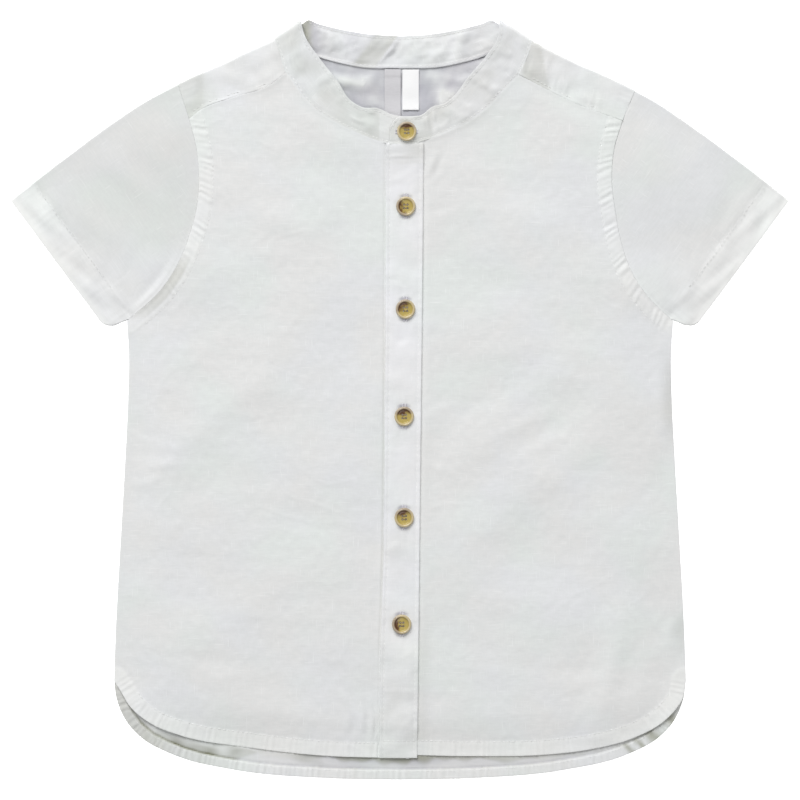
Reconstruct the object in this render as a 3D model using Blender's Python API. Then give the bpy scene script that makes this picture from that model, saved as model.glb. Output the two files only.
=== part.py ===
"""A toddler's short-sleeved shirt with a mandarin collar, laid out flat on its back.

X runs across the shirt, positive to the wearer's left, Y from the hem to the collar and Z up from
the surface that it lies on. The tables are in millimetres, and a mesh is scaled to metres when it is
made. "out" is a distance from the centre line, towards the side that the row belongs to.
"""

import math

import bmesh
import bpy
import numpy as np
from mathutils.geometry import delaunay_2d_cdt

MM = 0.001

# Cloth and how its layers lie
CLOTH = 1.0  # thickness of a wall of cloth
SEAM_GAP = 0.3  # between pieces at a seam, and between a layer and what it lies on
UNDER_Z = CLOTH / 2  # middle of the layer that rests on the surface
EDGE_Z = UNDER_Z + CLOTH + SEAM_GAP  # middle of the upper layer along a closed edge
LOFT = 1.5  # how much higher the upper layer stands away from its edges
LOFT_REACH = 17.0
NECK_REACH = 20.0
HEM_RAISE = 0.4  # a turned hem stands this much proud of its panel
HEM_RISER = 1.0
NECK_EASE = 0.7  # the yoke's shoulder fold stops this far inside the collar's
UNDERARM_EASE = 0.6  # the sleeve's lower fold stops this far short of the body's corner

# The collar is two plies with a gap between them
PLY_MIDDLE = (CLOTH + SEAM_GAP) / 2
COLLAR_HALF = PLY_MIDDLE + CLOTH / 2
COLLAR_BACK_Z = COLLAR_HALF
COLLAR_FRONT_Z = COLLAR_BACK_Z + 2 * COLLAR_HALF + 0.5
COLLAR_OVERLAP = 2 * COLLAR_HALF + SEAM_GAP
COLLAR_TILT_SIDE = 1.4  # its top edge stands higher than its seam at the sides
COLLAR_TILT_FRONT = 0.5
COLLAR_RISE_FROM, COLLAR_RISE_TO = 28.0, 9.0  # out, where the upper end climbs over the lower one

FRONT_STEP, BACK_STEP = 13.0, 16.25  # between the points of a panel
FOLD_STEPS = 4  # facets round a folded edge
STRIP_STEPS = 2  # down the yoke's strip on each front
BACK_SEAM_POINT = 5  # the armhole's point at the yoke's back seam
LINE_STEPS = {  # facets along each line
    "armhole": 8,
    "neck": 9,
    "yoke": 5,
    "sleeve_top": 24,
    "sleeve_under": 6,
    "side": 18,
    "hem": 18,
    "back_neck": 8,
    "back_seam": 21,
    "placket": 27,
    "front_edge": 26,
    "sleeve": 6,
}
FINE_STEPS = 80  # along a curve that is only measured and cut
COLLAR_ROWS, PLACKET_COLUMNS = 4, 3

# Where collar, shoulder and neck seam meet on each side
NECK_SIDES = {"right": (69.0, 199.6), "left": (72.6, 198.0)}
UNDERARM = (150.2, 43.4)
SIDE_END = (157.3, -154.5)
BACK_YOKE_Y = 126.5
BACK_ARMHOLE_BULGE = 3.5  # the back's armhole stands out from the front's
CUFF_TOP, CUFF_BOTTOM = (214.4, 110.0), (164.3, 42.6)
SLEEVE_HEM, FRONT_HEM = 16.0, 8.0

# Closed edges: out, y
SHOULDER = ((93.5, 187.0), (118.0, 176.0))
SLEEVE_TOP = ((139.4, 165.0), (155.7, 154.2), (171.0, 143.2), (193.0, 126.8), CUFF_TOP)
SLEEVE_UNDER = (UNDERARM, (161.4, 40.7), CUFF_BOTTOM)
SIDE = (
    UNDERARM,
    (149.2, 27.0),
    (149.6, 0.0),
    (151.2, -33.0),
    (154.0, -82.5),
    (156.6, -132.0),
    SIDE_END,
)
BACK_HEM = (
    SIDE_END,
    (156.0, -164.0),
    (150.2, -177.2),
    (141.9, -186.0),
    (125.6, -194.8),
    (90.2, -203.6),
    (41.2, -208.0),
    (0.0, -208.9),
)

# Seams that differ a little between the sides: out, y
SEAMS = {
    "right": {
        "neck_strip": (NECK_SIDES["right"], (66.5, 191.5), (62.7, 180.0)),
        "neck": (
            (62.7, 180.0),
            (56.6, 171.6),
            (52.2, 165.4),
            (46.2, 159.4),
            (38.5, 154.6),
            (27.0, 148.6),
            (13.7, 143.2),
            (5.5, 140.6),
            (-6.9, 140.0),
        ),
        "yoke": ((62.7, 180.0), (71.5, 173.2), (93.5, 166.0), (109.0, 160.0), (115.9, 154.6)),
        "shoulder_end": (122.3, 174.0),
        "armhole": (
            (115.9, 154.6),
            (111.8, 137.5),
            (110.5, 121.0),
            (111.7, 106.0),
            (115.7, 90.6),
            (121.0, 77.0),
            (131.0, 61.0),
            UNDERARM,
        ),
        "hem": (
            (154.0, -159.5),
            (148.0, -169.0),
            (137.5, -177.6),
            (121.0, -184.4),
            (82.5, -191.3),
            (44.0, -195.5),
            (11.0, -196.8),
            (-6.6, -197.2),
        ),
    },
    "left": {
        "neck_strip": (NECK_SIDES["left"], (70.4, 190.0), (65.3, 178.8)),
        "neck": (
            (65.3, 178.8),
            (61.0, 174.4),
            (55.0, 168.2),
            (49.5, 162.3),
            (38.5, 153.6),
            (27.5, 148.0),
            (16.5, 143.6),
            (9.4, 141.0),
            (8.9, 140.6),
        ),
        "yoke": ((65.3, 178.8), (77.0, 172.6), (93.5, 164.4), (112.0, 157.2), (122.3, 153.6)),
        "shoulder_end": (129.4, 170.4),
        "armhole": (
            (122.3, 153.6),
            (117.6, 137.5),
            (116.4, 121.0),
            (118.6, 102.0),
            (122.0, 85.0),
            (128.0, 69.0),
            (137.0, 56.0),
            UNDERARM,
        ),
        "hem": (
            (155.4, -164.0),
            (150.2, -171.6),
            (143.0, -178.2),
            (126.5, -186.6),
            (104.5, -192.2),
            (82.5, -194.9),
            (38.5, -195.9),
            (5.4, -195.3),
        ),
    },
}
SIGN = {"right": -1, "left": 1}

# The collar band's top edge: out, y
COLLAR_TOP = {
    "right": (
        (54.7, 209.2),
        (52.4, 200.5),
        (44.0, 187.6),
        (34.1, 174.9),
        (27.5, 165.0),
        (19.8, 160.6),
        (12.6, 160.4),
        (4.4, 156.8),
        (-6.6, 155.4),
    ),
    "left": (
        (54.7, 209.2),
        (54.0, 199.8),
        (46.2, 187.6),
        (37.4, 177.4),
        (28.6, 166.0),
        (24.2, 162.8),
        (18.4, 161.4),
        (11.0, 156.2),
        (6.6, 155.7),
    ),
}
COLLAR_BACK_BASE = ((56.0, 193.6), (45.0, 188.9), (33.0, 185.6), (22.0, 183.4), (0.0, 182.6))
COLLAR_BACK_TOP = ((51.0, 208.9), (45.0, 207.0), (35.8, 204.6), (27.5, 202.9), (16.5, 201.2), (0.0, 200.2))
# The rounded end that lies on top: out at the seam, out and y at the top edge
COLLAR_END = ((3.0, 3.0, 155.7), (-1.0, -0.6, 155.4), (-3.9, -3.2, 153.0), (-5.8, -5.2, 149.2))

# The placket: y, out of its free edge on the wearer's right, out of its seam on the left
PLACKET = (
    (139.9, -7.5, 12.9),
    (60.0, -7.8, 12.3),
    (-20.0, -8.2, 11.4),
    (-82.0, -8.8, 10.7),
    (-140.0, -10.6, 10.1),
    (-196.9, -11.3, 9.4),
)
PLACKET_ON_FRONT = CLOTH + SEAM_GAP + 0.05
FRONT_EDGES = {"right": -6.2, "left": -3.9}  # each front's own edge, from the placket's seam

# Soft folds of the upper layer: from, to, half width, height
FOLDS = (
    ((147.0, 25.0), (144.0, -30.0), 8.0, 0.8),
    ((152.0, -112.0), (152.0, -146.0), 7.0, 0.6),
    ((122.0, -122.0), (108.0, -182.0), 10.0, 0.9),
    ((-16.0, -60.0), (-15.0, -190.0), 8.0, -0.5),
    ((30.0, -34.0), (90.0, 14.0), 11.0, 0.8),
    ((42.0, -74.0), (104.0, -20.0), 12.0, 0.7),
    ((-104.0, 74.0), (-40.0, 108.0), 15.0, 0.7),
    ((-138.0, -42.0), (-78.0, 10.0), 11.0, 0.8),
    ((-122.0, -134.0), (-40.0, -88.0), 16.0, 0.7),
    ((38.0, 78.0), (106.0, 110.0), 15.0, 0.6),
    ((-188.0, 104.0), (-138.0, 76.0), 10.0, 0.6),
    ((-162.0, 134.0), (-132.0, 94.0), 9.0, 0.5),
    ((160.0, 130.0), (178.0, 74.0), 10.0, 0.6),
    ((138.0, 144.0), (132.0, 94.0), 9.0, 0.5),
)
FOLDLESS_CENTRE = 24.0  # folds die out towards the stiff placket

# Labels on the inside of the yoke: x from, x to, y from, y to
LABELS = {"neck_label": (-8.5, 0.4, 152.0, 181.8), "size_label": (1.3, 10.4, 159.5, 181.8)}

BUTTON_RADIUS, BUTTON_EDGE, BUTTON_MIDDLE = 5.35, 2.4, 1.5
BUTTON_HOLE_RADIUS, BUTTON_HOLES_RADIUS = 0.62, 1.35
BUTTON_SIDES, BUTTON_HOLE_SIDES = 20, 6
BUTTONS = ((3.7, 147.4), (3.2, 106.4), (3.0, 49.9), (2.3, -9.0), (2.3, -64.6), (0.9, -123.2))

WHITE_LINEN = (0.74, 0.745, 0.74)
COLOURS = {"label": (0.80, 0.80, 0.79), "button": (0.30, 0.20, 0.09)}

NO_POINT = (0, 0, 0)


# Curves in the plane


def spline(points, segments):
    """Points spread evenly along a smooth curve through the given ones."""
    points = np.array(points, float)
    along = np.concatenate([[0], np.cumsum(np.linalg.norm(np.diff(points, axis=0), axis=1))])
    slopes = np.gradient(points, along, axis=0)
    fine = np.linspace(0, along[-1], 40 * len(points))
    i = np.clip(np.searchsorted(along, fine, side="right") - 1, 0, len(points) - 2)
    width = (along[i + 1] - along[i])[:, None]
    t = ((fine - along[i]) / width[:, 0])[:, None]
    curve = (
        (1 + 2 * t) * (1 - t) ** 2 * points[i]
        + t * (1 - t) ** 2 * width * slopes[i]
        + t**2 * (3 - 2 * t) * points[i + 1]
        + t**2 * (t - 1) * width * slopes[i + 1]
    )
    return at_shares(curve, np.linspace(0, 1, segments + 1))


def shares(line):
    """How far along a line each of its points lies, from 0 to 1."""
    along = np.concatenate([[0], np.cumsum(np.linalg.norm(np.diff(line, axis=0), axis=1))])
    return along / along[-1]


def at_shares(line, wanted):
    own = shares(line)
    return np.stack([np.interp(wanted, own, line[:, k]) for k in range(line.shape[1])], axis=1)


def split_at_y(line, y):
    """A line that runs downwards, as its part above a height and its part below."""
    first = int(np.argmax(line[:, 1] < y))
    share = (line[first - 1][1] - y) / (line[first - 1][1] - line[first][1])
    cut = line[first - 1] + share * (line[first] - line[first - 1])
    return np.array([*line[:first], cut]), np.array([cut, *line[first:]])


def joined(*lines):
    """Lines that follow on from each other, as one."""
    return np.concatenate([lines[0]] + [line[1:] for line in lines[1:]])


def moved_sideways(line, distance):
    """A line moved to its left by a distance, with mitred corners."""
    way = np.diff(line, axis=0)
    way /= np.linalg.norm(way, axis=1)[:, None]
    left = np.stack([-way[:, 1], way[:, 0]], axis=1)
    before = np.concatenate([left[:1], left])
    after = np.concatenate([left, left[-1:]])
    corner = before + after
    corner /= np.maximum((corner * after).sum(1), 0.5)[:, None]
    return line + distance * corner


def inset(outline, distances):
    """A closed anticlockwise outline with each side moved inwards by its own distance."""
    n = len(outline)
    way = np.roll(outline, -1, axis=0) - outline
    way /= np.linalg.norm(way, axis=1)[:, None]
    left = np.stack([-way[:, 1], way[:, 0]], axis=1)
    moved = []
    for i in range(n):
        first, second = left[i - 1], left[i]
        lean = 1 + first @ second
        across = way[i - 1] @ second
        if abs(across) > 0.2:
            # The two moved sides are crossed.
            step = (distances[i] - distances[i - 1] * (first @ second)) / across
            moved.append(outline[i] + distances[i - 1] * first + step * way[i - 1])
        else:
            mean = max(distances[i - 1], distances[i])
            moved.append(outline[i] + mean * (first + second) / lean)
    return np.array(moved)


def distance_to(line, x, y):
    """The distance in the plane from each place to a line."""
    place = np.stack([np.ravel(x), np.ravel(y)], axis=1)
    best = np.full(len(place), np.inf)
    for a, b in zip(line[:-1], line[1:]):
        way = b - a
        t = np.clip((place - a) @ way / (way @ way), 0, 1)
        best = np.minimum(best, np.linalg.norm(place - a - t[:, None] * way, axis=1))
    return best.reshape(np.shape(x))


def mirrored(line, side):
    return np.array(line, float) * (SIGN[side], 1)


# The shirt's own lines, with the same points for both pieces of each seam


def shirt_lines(side):
    seams = {name: mirrored(line, side) for name, line in SEAMS[side].items()}
    armhole_top = np.array([seams["shoulder_end"], seams["armhole"][0]])
    above, below = split_at_y(spline(seams["armhole"], FINE_STEPS), BACK_YOKE_Y)
    front = joined(
        at_shares(armhole_top, np.linspace(0, 1, STRIP_STEPS + 1)),
        at_shares(above, np.linspace(0, 1, BACK_SEAM_POINT - STRIP_STEPS + 1)),
        at_shares(below, np.linspace(0, 1, LINE_STEPS["armhole"] + 1)),
    )
    bulge = BACK_ARMHOLE_BULGE * np.sin(math.pi * shares(front))[:, None] * (SIGN[side], 0)
    strip = at_shares(seams["neck_strip"], np.linspace(0, 1, STRIP_STEPS + 1))
    neck_side = mirrored(NECK_SIDES[side], side)
    shoulder = np.array([neck_side, *mirrored(SHOULDER, side), seams["shoulder_end"]])
    top = np.concatenate([[seams["shoulder_end"]], mirrored(SLEEVE_TOP, side)])
    steps = LINE_STEPS
    return {
        "armhole_front": front,
        "armhole_back": front + bulge,
        "neck_strip": strip,
        "neck": spline(seams["neck"], steps["neck"]),
        "yoke": spline(seams["yoke"], steps["yoke"]),
        "shoulder": spline(shoulder, steps["yoke"]),
        "sleeve_top": spline(top, steps["sleeve_top"]),
        "sleeve_under": spline(mirrored(SLEEVE_UNDER, side), steps["sleeve_under"]),
        "side": spline(mirrored(SIDE, side), steps["side"]),
        "front_hem": spline([mirrored(SIDE_END, side), *seams["hem"]], steps["hem"]),
        "back_hem": spline(mirrored(BACK_HEM, side), steps["hem"]),
        "back_neck": spline([neck_side, *mirrored(COLLAR_BACK_BASE, side)], steps["back_neck"]),
    }


LINES = {side: shirt_lines(side) for side in SIGN}


def upper_z(x, y):
    """The middle of the upper layer of cloth: closed edges low, the rest lofted, folded softly."""
    x, y = np.asarray(x, float), np.asarray(y, float)
    closed = np.full(x.shape, np.inf)
    neck = np.full(x.shape, np.inf)
    for side in SIGN:
        lines = LINES[side]
        for name in ("shoulder", "sleeve_top", "sleeve_under", "side"):
            closed = np.minimum(closed, distance_to(lines[name], x, y))
        neck = np.minimum(neck, distance_to(joined(lines["neck_strip"], lines["neck"]), x, y))
    away = 1 - np.exp(-((closed / LOFT_REACH) ** 2))
    z = EDGE_Z + LOFT * away
    calm = away * (1 - np.exp(-((x / FOLDLESS_CENTRE) ** 4)))
    for start, end, width, height in FOLDS:
        across = distance_to(np.array([start, end]), x, y)
        z = z + calm * height * np.exp(-((across / width) ** 2))
    near_neck = np.exp(-((neck / NECK_REACH) ** 2))
    return np.maximum(z + (COLLAR_FRONT_Z - z) * near_neck, EDGE_Z)


# Meshes


def wall(points, faces, low, high, raised=None, seam_ways=None, upright=False):
    """A closed wall about a middle surface, from low to high along its normals.

    raised gives each point's extra height, which counts where the surface faces up. seam_ways gives
    the way across the seam at a point on one, and zero elsewhere, so that the wall ends square to
    its seams. A nearly level panel is upright: its normals are all vertical.
    """
    points = np.asarray(points, float)
    normals = np.zeros_like(points)
    for face in faces:
        corners = points[list(face)]
        area = np.cross(corners[2] - corners[0], corners[-1] - corners[1])
        if len(face) == 3:
            area = np.cross(corners[1] - corners[0], corners[2] - corners[0])
        normals[list(face)] += area
    if upright:
        normals[:] = (0, 0, 1)
    if seam_ways is not None:
        ways = np.asarray(seam_ways, float)
        normals -= ways * (normals * ways).sum(1)[:, None]
    normals /= np.linalg.norm(normals, axis=1)[:, None]
    extra = np.zeros(len(points)) if raised is None else raised
    outer = points + normals * (high + extra * np.clip(normals[:, 2], 0, 1))[:, None]
    inner = points + normals * low
    n = len(points)
    sides = {}
    for face in faces:
        for a, b in zip(face, (*face[1:], face[0])):
            sides[a, b] = sides.get((a, b), 0) + 1
    rims = [(b, a, a + n, b + n) for a, b in sides if (b, a) not in sides]
    inside = [tuple(i + n for i in reversed(face)) for face in faces]
    return np.concatenate([outer, inner]), [*map(tuple, faces), *inside, *rims]


def add_object(name, points, faces, colour=WHITE_LINEN, roughness=0.9):
    mesh = bpy.data.meshes.new(name)
    mesh.from_pydata((np.asarray(points) * MM).tolist(), [], faces)
    mesh.validate()
    mesh.update()
    return finish_object(name, mesh, colour, roughness)


def finish_object(name, mesh, colour, roughness):
    material = bpy.data.materials.new(name)
    material.use_nodes = True
    shader = material.node_tree.nodes["Principled BSDF"]
    shader.inputs["Base Color"].default_value = (*colour, 1)
    shader.inputs["Roughness"].default_value = roughness
    mesh.materials.clear()
    mesh.materials.append(material)
    mesh.shade_smooth()
    mesh.set_sharp_from_angle(angle=math.radians(40))
    obj = bpy.data.objects.new(name, mesh)
    bpy.context.collection.objects.link(obj)
    return obj


def grid_faces(present):
    """The quads of a grid of points, one for each cell that is present."""
    rows, columns = present.shape
    across = columns + 1
    return [
        (i * across + j, i * across + j + 1, (i + 1) * across + j + 1, (i + 1) * across + j)
        for i in range(rows)
        for j in range(columns)
        if present[i, j]
    ]


def used_only(points, faces):
    used = sorted({i for face in faces for i in face})
    new = {old: i for i, old in enumerate(used)}
    return np.asarray(points)[used], [tuple(new[i] for i in face) for face in faces]


def inside(outline, places):
    """Which places lie inside a closed outline."""
    x, y = places[:, 0], places[:, 1]
    hit = np.zeros(len(places), bool)
    for a, b in zip(outline, np.roll(outline, -1, axis=0)):
        crosses = (a[1] > y) != (b[1] > y)
        rise = b[1] - a[1] if b[1] != a[1] else 1e-9
        hit ^= crosses & (x < (b[0] - a[0]) * (y - a[1]) / rise + a[0])
    return hit


def triangulated(outline, step, extra=()):
    """Points and triangles that fill an outline, the inner ones in staggered rows."""
    low, high = outline.min(0), outline.max(0)
    rows = np.arange(low[1] + step / 2, high[1], step * math.sqrt(0.75))
    inner = [
        (x, y)
        for k, y in enumerate(rows)
        for x in np.arange(low[0] + step * (0.25 + 0.5 * (k % 2)), high[0], step)
    ]
    inner = np.array(inner)
    inner = inner[inside(outline, inner)]
    ring = np.concatenate([outline, outline[:1]])
    inner = inner[distance_to(ring, inner[:, 0], inner[:, 1]) > 0.5 * step]
    for line in extra:
        inner = inner[distance_to(line, inner[:, 0], inner[:, 1]) > 0.45 * step]
    points = np.concatenate([outline, *extra, inner])
    edges, start = [], len(outline)
    for line in extra:
        edges += [(start + i, start + i + 1) for i in range(len(line) - 1)]
        start += len(line)
    face = list(range(len(outline)))
    found = delaunay_2d_cdt([tuple(p) for p in points], edges, [face], 1, 1e-6)
    flat = np.array([tuple(p) for p in found[0]])
    return used_only(flat, [tuple(triangle) for triangle in found[2]])


def facing_up(flat, triangles):
    up = []
    for a, b, c in triangles:
        first, second = flat[b] - flat[a], flat[c] - flat[a]
        turn = first[0] * second[1] - first[1] * second[0]
        up.append((a, b, c) if turn > 0 else (a, c, b))
    return up


def across(line):
    """The level unit vector across a line at each of its points."""
    way = np.gradient(np.asarray(line, float)[:, :2], axis=0)
    way /= np.linalg.norm(way, axis=1)[:, None]
    return np.column_stack([-way[:, 1], way[:, 0], np.zeros(len(way))])


def folded_edge(centre, bulge, under, over):
    """Points round a folded edge, from the layer under to the layer over, ends left out."""
    middle, radius = (under + over) / 2, (over - under) / 2
    turned = np.linspace(-math.pi / 2, math.pi / 2, FOLD_STEPS + 1)[1:-1]
    return [
        (*(centre + radius * math.cos(a) * bulge), middle + radius * math.sin(a)) for a in turned
    ]


def tip_moved_in(line, half, under=UNDER_Z, over=None):
    """A line's first point moved along it, so that its fold's outside ends where the line began.

    Returns the new first point, the way that the fold bulges and the upper layer's height there.
    """
    way = (line[1] - line[0]) / np.linalg.norm(line[1] - line[0])
    top = float(upper_z(*line[0])) if over is None else over
    return line[0] + way * ((top - under) / 2 + half), -way, top


# Pieces


def make_back():
    """The back, with its yoke seam at the top, flat on the surface."""
    right, left = LINES["right"], LINES["left"]
    seam = {side: lines["armhole_back"][BACK_SEAM_POINT:] for side, lines in LINES.items()}
    seam_ends = np.array([seam["left"][0], seam["right"][0]])
    top = at_shares(seam_ends, np.linspace(0, 1, LINE_STEPS["back_seam"] + 1))
    parts = (
        (top, SEAM_GAP / 2),
        (seam["right"], SEAM_GAP / 2),
        (right["side"], 0),
        (right["back_hem"], 0),
        (left["back_hem"][::-1], 0),
        (left["side"][::-1], 0),
        (seam["left"][::-1], SEAM_GAP / 2),
    )
    outline, distances = closed_outline(parts)
    outline = inset(outline, distances)
    flat, triangles = triangulated(outline, BACK_STEP)
    points = np.column_stack([flat, np.full(len(flat), UNDER_Z)])
    half = CLOTH / 2
    faces = facing_up(flat, triangles)
    add_object("back_panel", *wall(points, faces, -half, half, upright=True))


def closed_outline(parts):
    """Lines that go round a piece, with the inset of each side, as one closed outline."""
    outline, distances = [], []
    for line, distance in parts:
        outline.extend(line[:-1])
        distances.extend([distance] * (len(line) - 1))
    return np.array(outline), distances


def placket_edge(y, column):
    rows = np.array(PLACKET)[::-1]
    return np.interp(y, rows[:, 0], rows[:, column])


def make_front(side):
    """One front, from the yoke to the hem, with its own edge hidden under the placket."""
    lines = LINES[side]
    sign = SIGN[side]
    armhole = lines["armhole_front"][STRIP_STEPS:]
    neck, hem = lines["neck"], lines["front_hem"]
    rows = np.linspace(hem[-1][1], neck[-1][1], LINE_STEPS["front_edge"] + 1)
    edge = np.column_stack([placket_edge(rows, 2) + FRONT_EDGES[side], rows])
    parts = [
        (lines["yoke"][::-1], SEAM_GAP / 2),
        (neck, SEAM_GAP / 2),
        (edge[::-1], 0),
        (hem[::-1], 0),
        (lines["side"][::-1], 0),
        (armhole[::-1], SEAM_GAP / 2),
    ]
    neck[-1], hem[-1] = edge[-1], edge[0]
    if sign < 0:
        parts = [(line[::-1], gap) for line, gap in parts[::-1]]
    outline, distances = closed_outline(parts)
    outline = inset(outline, distances)
    inner = moved_sideways(hem, sign * FRONT_HEM)[2:-1]
    riser = moved_sideways(hem, sign * (FRONT_HEM + HEM_RISER))[2:-1]
    flat, triangles = triangulated(outline, FRONT_STEP, (inner, riser))
    points = np.column_stack([flat, upper_z(flat[:, 0], flat[:, 1])])
    raised = HEM_RAISE * (distance_to(hem, flat[:, 0], flat[:, 1]) < FRONT_HEM + HEM_RISER / 2)
    half = CLOTH / 2
    faces = facing_up(flat, triangles)
    solid = wall(points, faces, -half, half, raised, upright=True)
    add_object("front_" + side, *solid)


def make_yoke():
    """The yoke: the back's top, folded over both shoulders, with a narrow strip on each front."""
    groups, neck_line = {}, {}
    for side in SIGN:
        lines = LINES[side]
        strip = moved_sideways(lines["neck_strip"], SIGN[side] * SEAM_GAP / 2)
        hole = moved_sideways(lines["armhole_back"], SIGN[side] * -SEAM_GAP / 2)
        down = hole[: BACK_SEAM_POINT + 1]
        hole_front = moved_sideways(lines["armhole_front"], SIGN[side] * -SEAM_GAP / 2)
        hole_front = hole_front[: STRIP_STEPS + 1]
        neck_line[side] = moved_sideways(lines["back_neck"], SIGN[side] * SEAM_GAP / 2)
        ends = moved_sideways(lines["yoke"], SIGN[side] * SEAM_GAP / 2)
        ends[0], ends[-1] = strip[-1], hole_front[-1]
        seam_across = across(ends)
        tops = lines["shoulder"].copy()
        tops[0], tops[-1] = strip[0], hole_front[0]
        columns = []
        for i, (top, end) in enumerate(zip(tops, ends)):
            path = at_shares(np.array([top, end]), np.linspace(0, 1, STRIP_STEPS + 1))
            if i == 0:
                path = strip
            if i == len(tops) - 1:
                path = hole_front
            centre, bulge, over = tip_moved_in(path, CLOTH / 2 + NECK_EASE * (i == 0))
            front = [(*p, float(upper_z(*p))) for p in path[1:]]
            fold = folded_edge(centre, bulge, UNDER_Z, over)
            past = [*fold, (*centre, over), *front]
            ways = np.zeros((len(past), 3))
            if i in (0, len(tops) - 1):
                ways[:] = across([centre, centre - bulge])[0]
                ways[-2:] = across(path)[1:]
            ways[-1] = seam_across[i]
            columns.append({"centre": centre, "past": past, "ways": ways})
        groups[side] = {"columns": columns, "down": down}
    right, left = groups["right"], groups["left"]
    steps = len(right["down"]) - 1
    low_y = BACK_YOKE_Y + SEAM_GAP / 2
    columns = right["columns"][::-1] + neck_columns(neck_line) + left["columns"]
    count = len(columns)
    low_x = np.linspace(right["down"][-1][0], left["down"][-1][0], count)
    upper = np.array([column["centre"] for column in columns])
    rows = []
    for k in range(steps + 1):
        share = k / steps
        line = (1 - share) * np.column_stack([low_x, np.full(count, low_y)]) + share * upper
        for end, side in ((0, right), (-1, left)):
            hole = side["down"][::-1][k] if 0 < k < steps else line[end]
            weight = np.linspace(1, 0, count) if end == 0 else np.linspace(0, 1, count)
            line = line + (weight**3)[:, None] * (hole - line[end])
        rows.append([(*p, UNDER_Z) for p in line])
    ways = [np.zeros((count, 3)) for row in rows]
    for k in range(FOLD_STEPS + STRIP_STEPS):
        rows.append([column["past"][k] if "past" in column else NO_POINT for column in columns])
        ways.append([column["ways"][k] if "past" in column else NO_POINT for column in columns])
    points = np.column_stack([np.reshape(rows, (-1, 3)), np.reshape(ways, (-1, 3))])
    present = np.ones((len(rows) - 1, count - 1), bool)
    own = len(right["columns"])
    present[steps:, own - 1 : count - own] = False
    points, faces = used_only(points, grid_faces(present))
    faces = [tuple(reversed(face)) for face in faces]
    half = CLOTH / 2
    solid = wall(points[:, :3], faces, -half, half, seam_ways=points[:, 3:])
    add_object("yoke", *solid)


def neck_columns(neck_line):
    """The yoke's columns that end at the back neck seam, from the wearer's right to their left."""
    line = joined(neck_line["right"], neck_line["left"][::-1])
    return [{"centre": place} for place in line[1:-1]]


def make_sleeve(side):
    """A sleeve: a flattened tube from the armhole seam to the cuff, with a turned hem."""
    sign, lines = SIGN[side], LINES[side]
    front = moved_sideways(lines["armhole_front"], sign * SEAM_GAP / 2)
    back = moved_sideways(lines["armhole_back"], sign * SEAM_GAP / 2)
    back[0], back[-1] = front[0], front[-1]
    cuff_ends = mirrored((CUFF_TOP, CUFF_BOTTOM), side)
    length = np.linalg.norm(lines["sleeve_top"][-1] - lines["sleeve_top"][0])
    hem = 1 - SLEEVE_HEM / length
    riser = hem - HEM_RISER / length
    stations = [*np.linspace(0, riser, LINE_STEPS["sleeve"] + 1), hem, (hem + 1) / 2, 1]
    rings, raised, ways = [], [], []
    for u in stations:
        paths = [coons(line, cuff_ends, lines, u) for line in (front, back)]
        centre, bulge, over = tip_moved_in(paths[0], CLOTH / 2)
        half_here = CLOTH / 2 + UNDERARM_EASE * (1 - u)
        last, bulge_last, over_last = tip_moved_in(paths[0][::-1], half_here)
        ring = [(*centre, over)]
        ring += [(*p, float(upper_z(*p))) for p in paths[0][1:-1]]
        ring += [(*last, over_last)]
        ring += folded_edge(last, bulge_last, UNDER_Z, over_last)[::-1]
        ring += [(*last, UNDER_Z)]
        ring += [(*p, UNDER_Z) for p in paths[1][-2:0:-1]]
        ring += [(*centre, UNDER_Z)]
        ring += folded_edge(centre, bulge, UNDER_Z, over)
        rings.append(ring)
        raised += [HEM_RAISE * (u >= hem)] * len(ring)
        square = np.zeros((len(ring), 3))
        if u == 0:
            square = ring_across(paths[0], len(ring))
        ways.append(square)
    around = len(rings[0])
    faces = []
    for i in range(len(rings) - 1):
        for j in range(around):
            k = (j + 1) % around
            face = (i * around + j, i * around + k, (i + 1) * around + k, (i + 1) * around + j)
            faces.append(face if sign < 0 else face[::-1])
    points = np.array(rings).reshape(-1, 3)
    half = CLOTH / 2
    solid = wall(points, faces, -half, half, np.array(raised), np.concatenate(ways))
    add_object("sleeve_" + side, *solid)


def ring_across(path, count):
    """The way across the armhole seam at each point of the sleeve's first ring."""
    seam = across(path)
    ways = np.zeros((count, 3))
    ways[: len(path)] = seam
    ways[len(path) : len(path) + FOLD_STEPS] = seam[-1]
    ways[-FOLD_STEPS:] = seam[0]
    return ways


def coons(armhole, cuff_ends, lines, u):
    """The line across a sleeve at the share u of the way from its armhole to its cuff."""
    v = shares(armhole)[:, None]
    cuff = (1 - v) * cuff_ends[0] + v * cuff_ends[1]
    top = at_shares(lines["sleeve_top"], [u])[0]
    under = at_shares(lines["sleeve_under"], [u])[0]
    top = top + (1 - u) * (armhole[0] - lines["sleeve_top"][0])
    under = under + (1 - u) * (armhole[-1] - lines["sleeve_under"][0])
    corners = (1 - u) * ((1 - v) * armhole[0] + v * armhole[-1]) + u * cuff
    return (1 - u) * armhole + u * cuff + (1 - v) * top + v * under - corners


def make_placket():
    """The buttoned band down the front, lying on the edges of both fronts."""
    rows = np.linspace(PLACKET[0][0] - SEAM_GAP / 2, PLACKET[-1][0], LINE_STEPS["placket"] + 1)
    columns = np.linspace(0, 1, PLACKET_COLUMNS + 1)
    points = []
    for y in rows[::-1]:
        low, high = placket_edge(y, 1), placket_edge(y, 2)
        on_hem = HEM_RAISE * (y < PLACKET[-1][0] + FRONT_HEM + 3 * HEM_RISER)
        for share in columns:
            x = low + share * (high - low)
            points.append((x, y, float(upper_z(x, y)) + PLACKET_ON_FRONT + on_hem))
    faces = grid_faces(np.ones((len(rows) - 1, len(columns) - 1), bool))
    half = CLOTH / 2
    add_object("placket", *wall(points, faces, -half, half))


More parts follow.
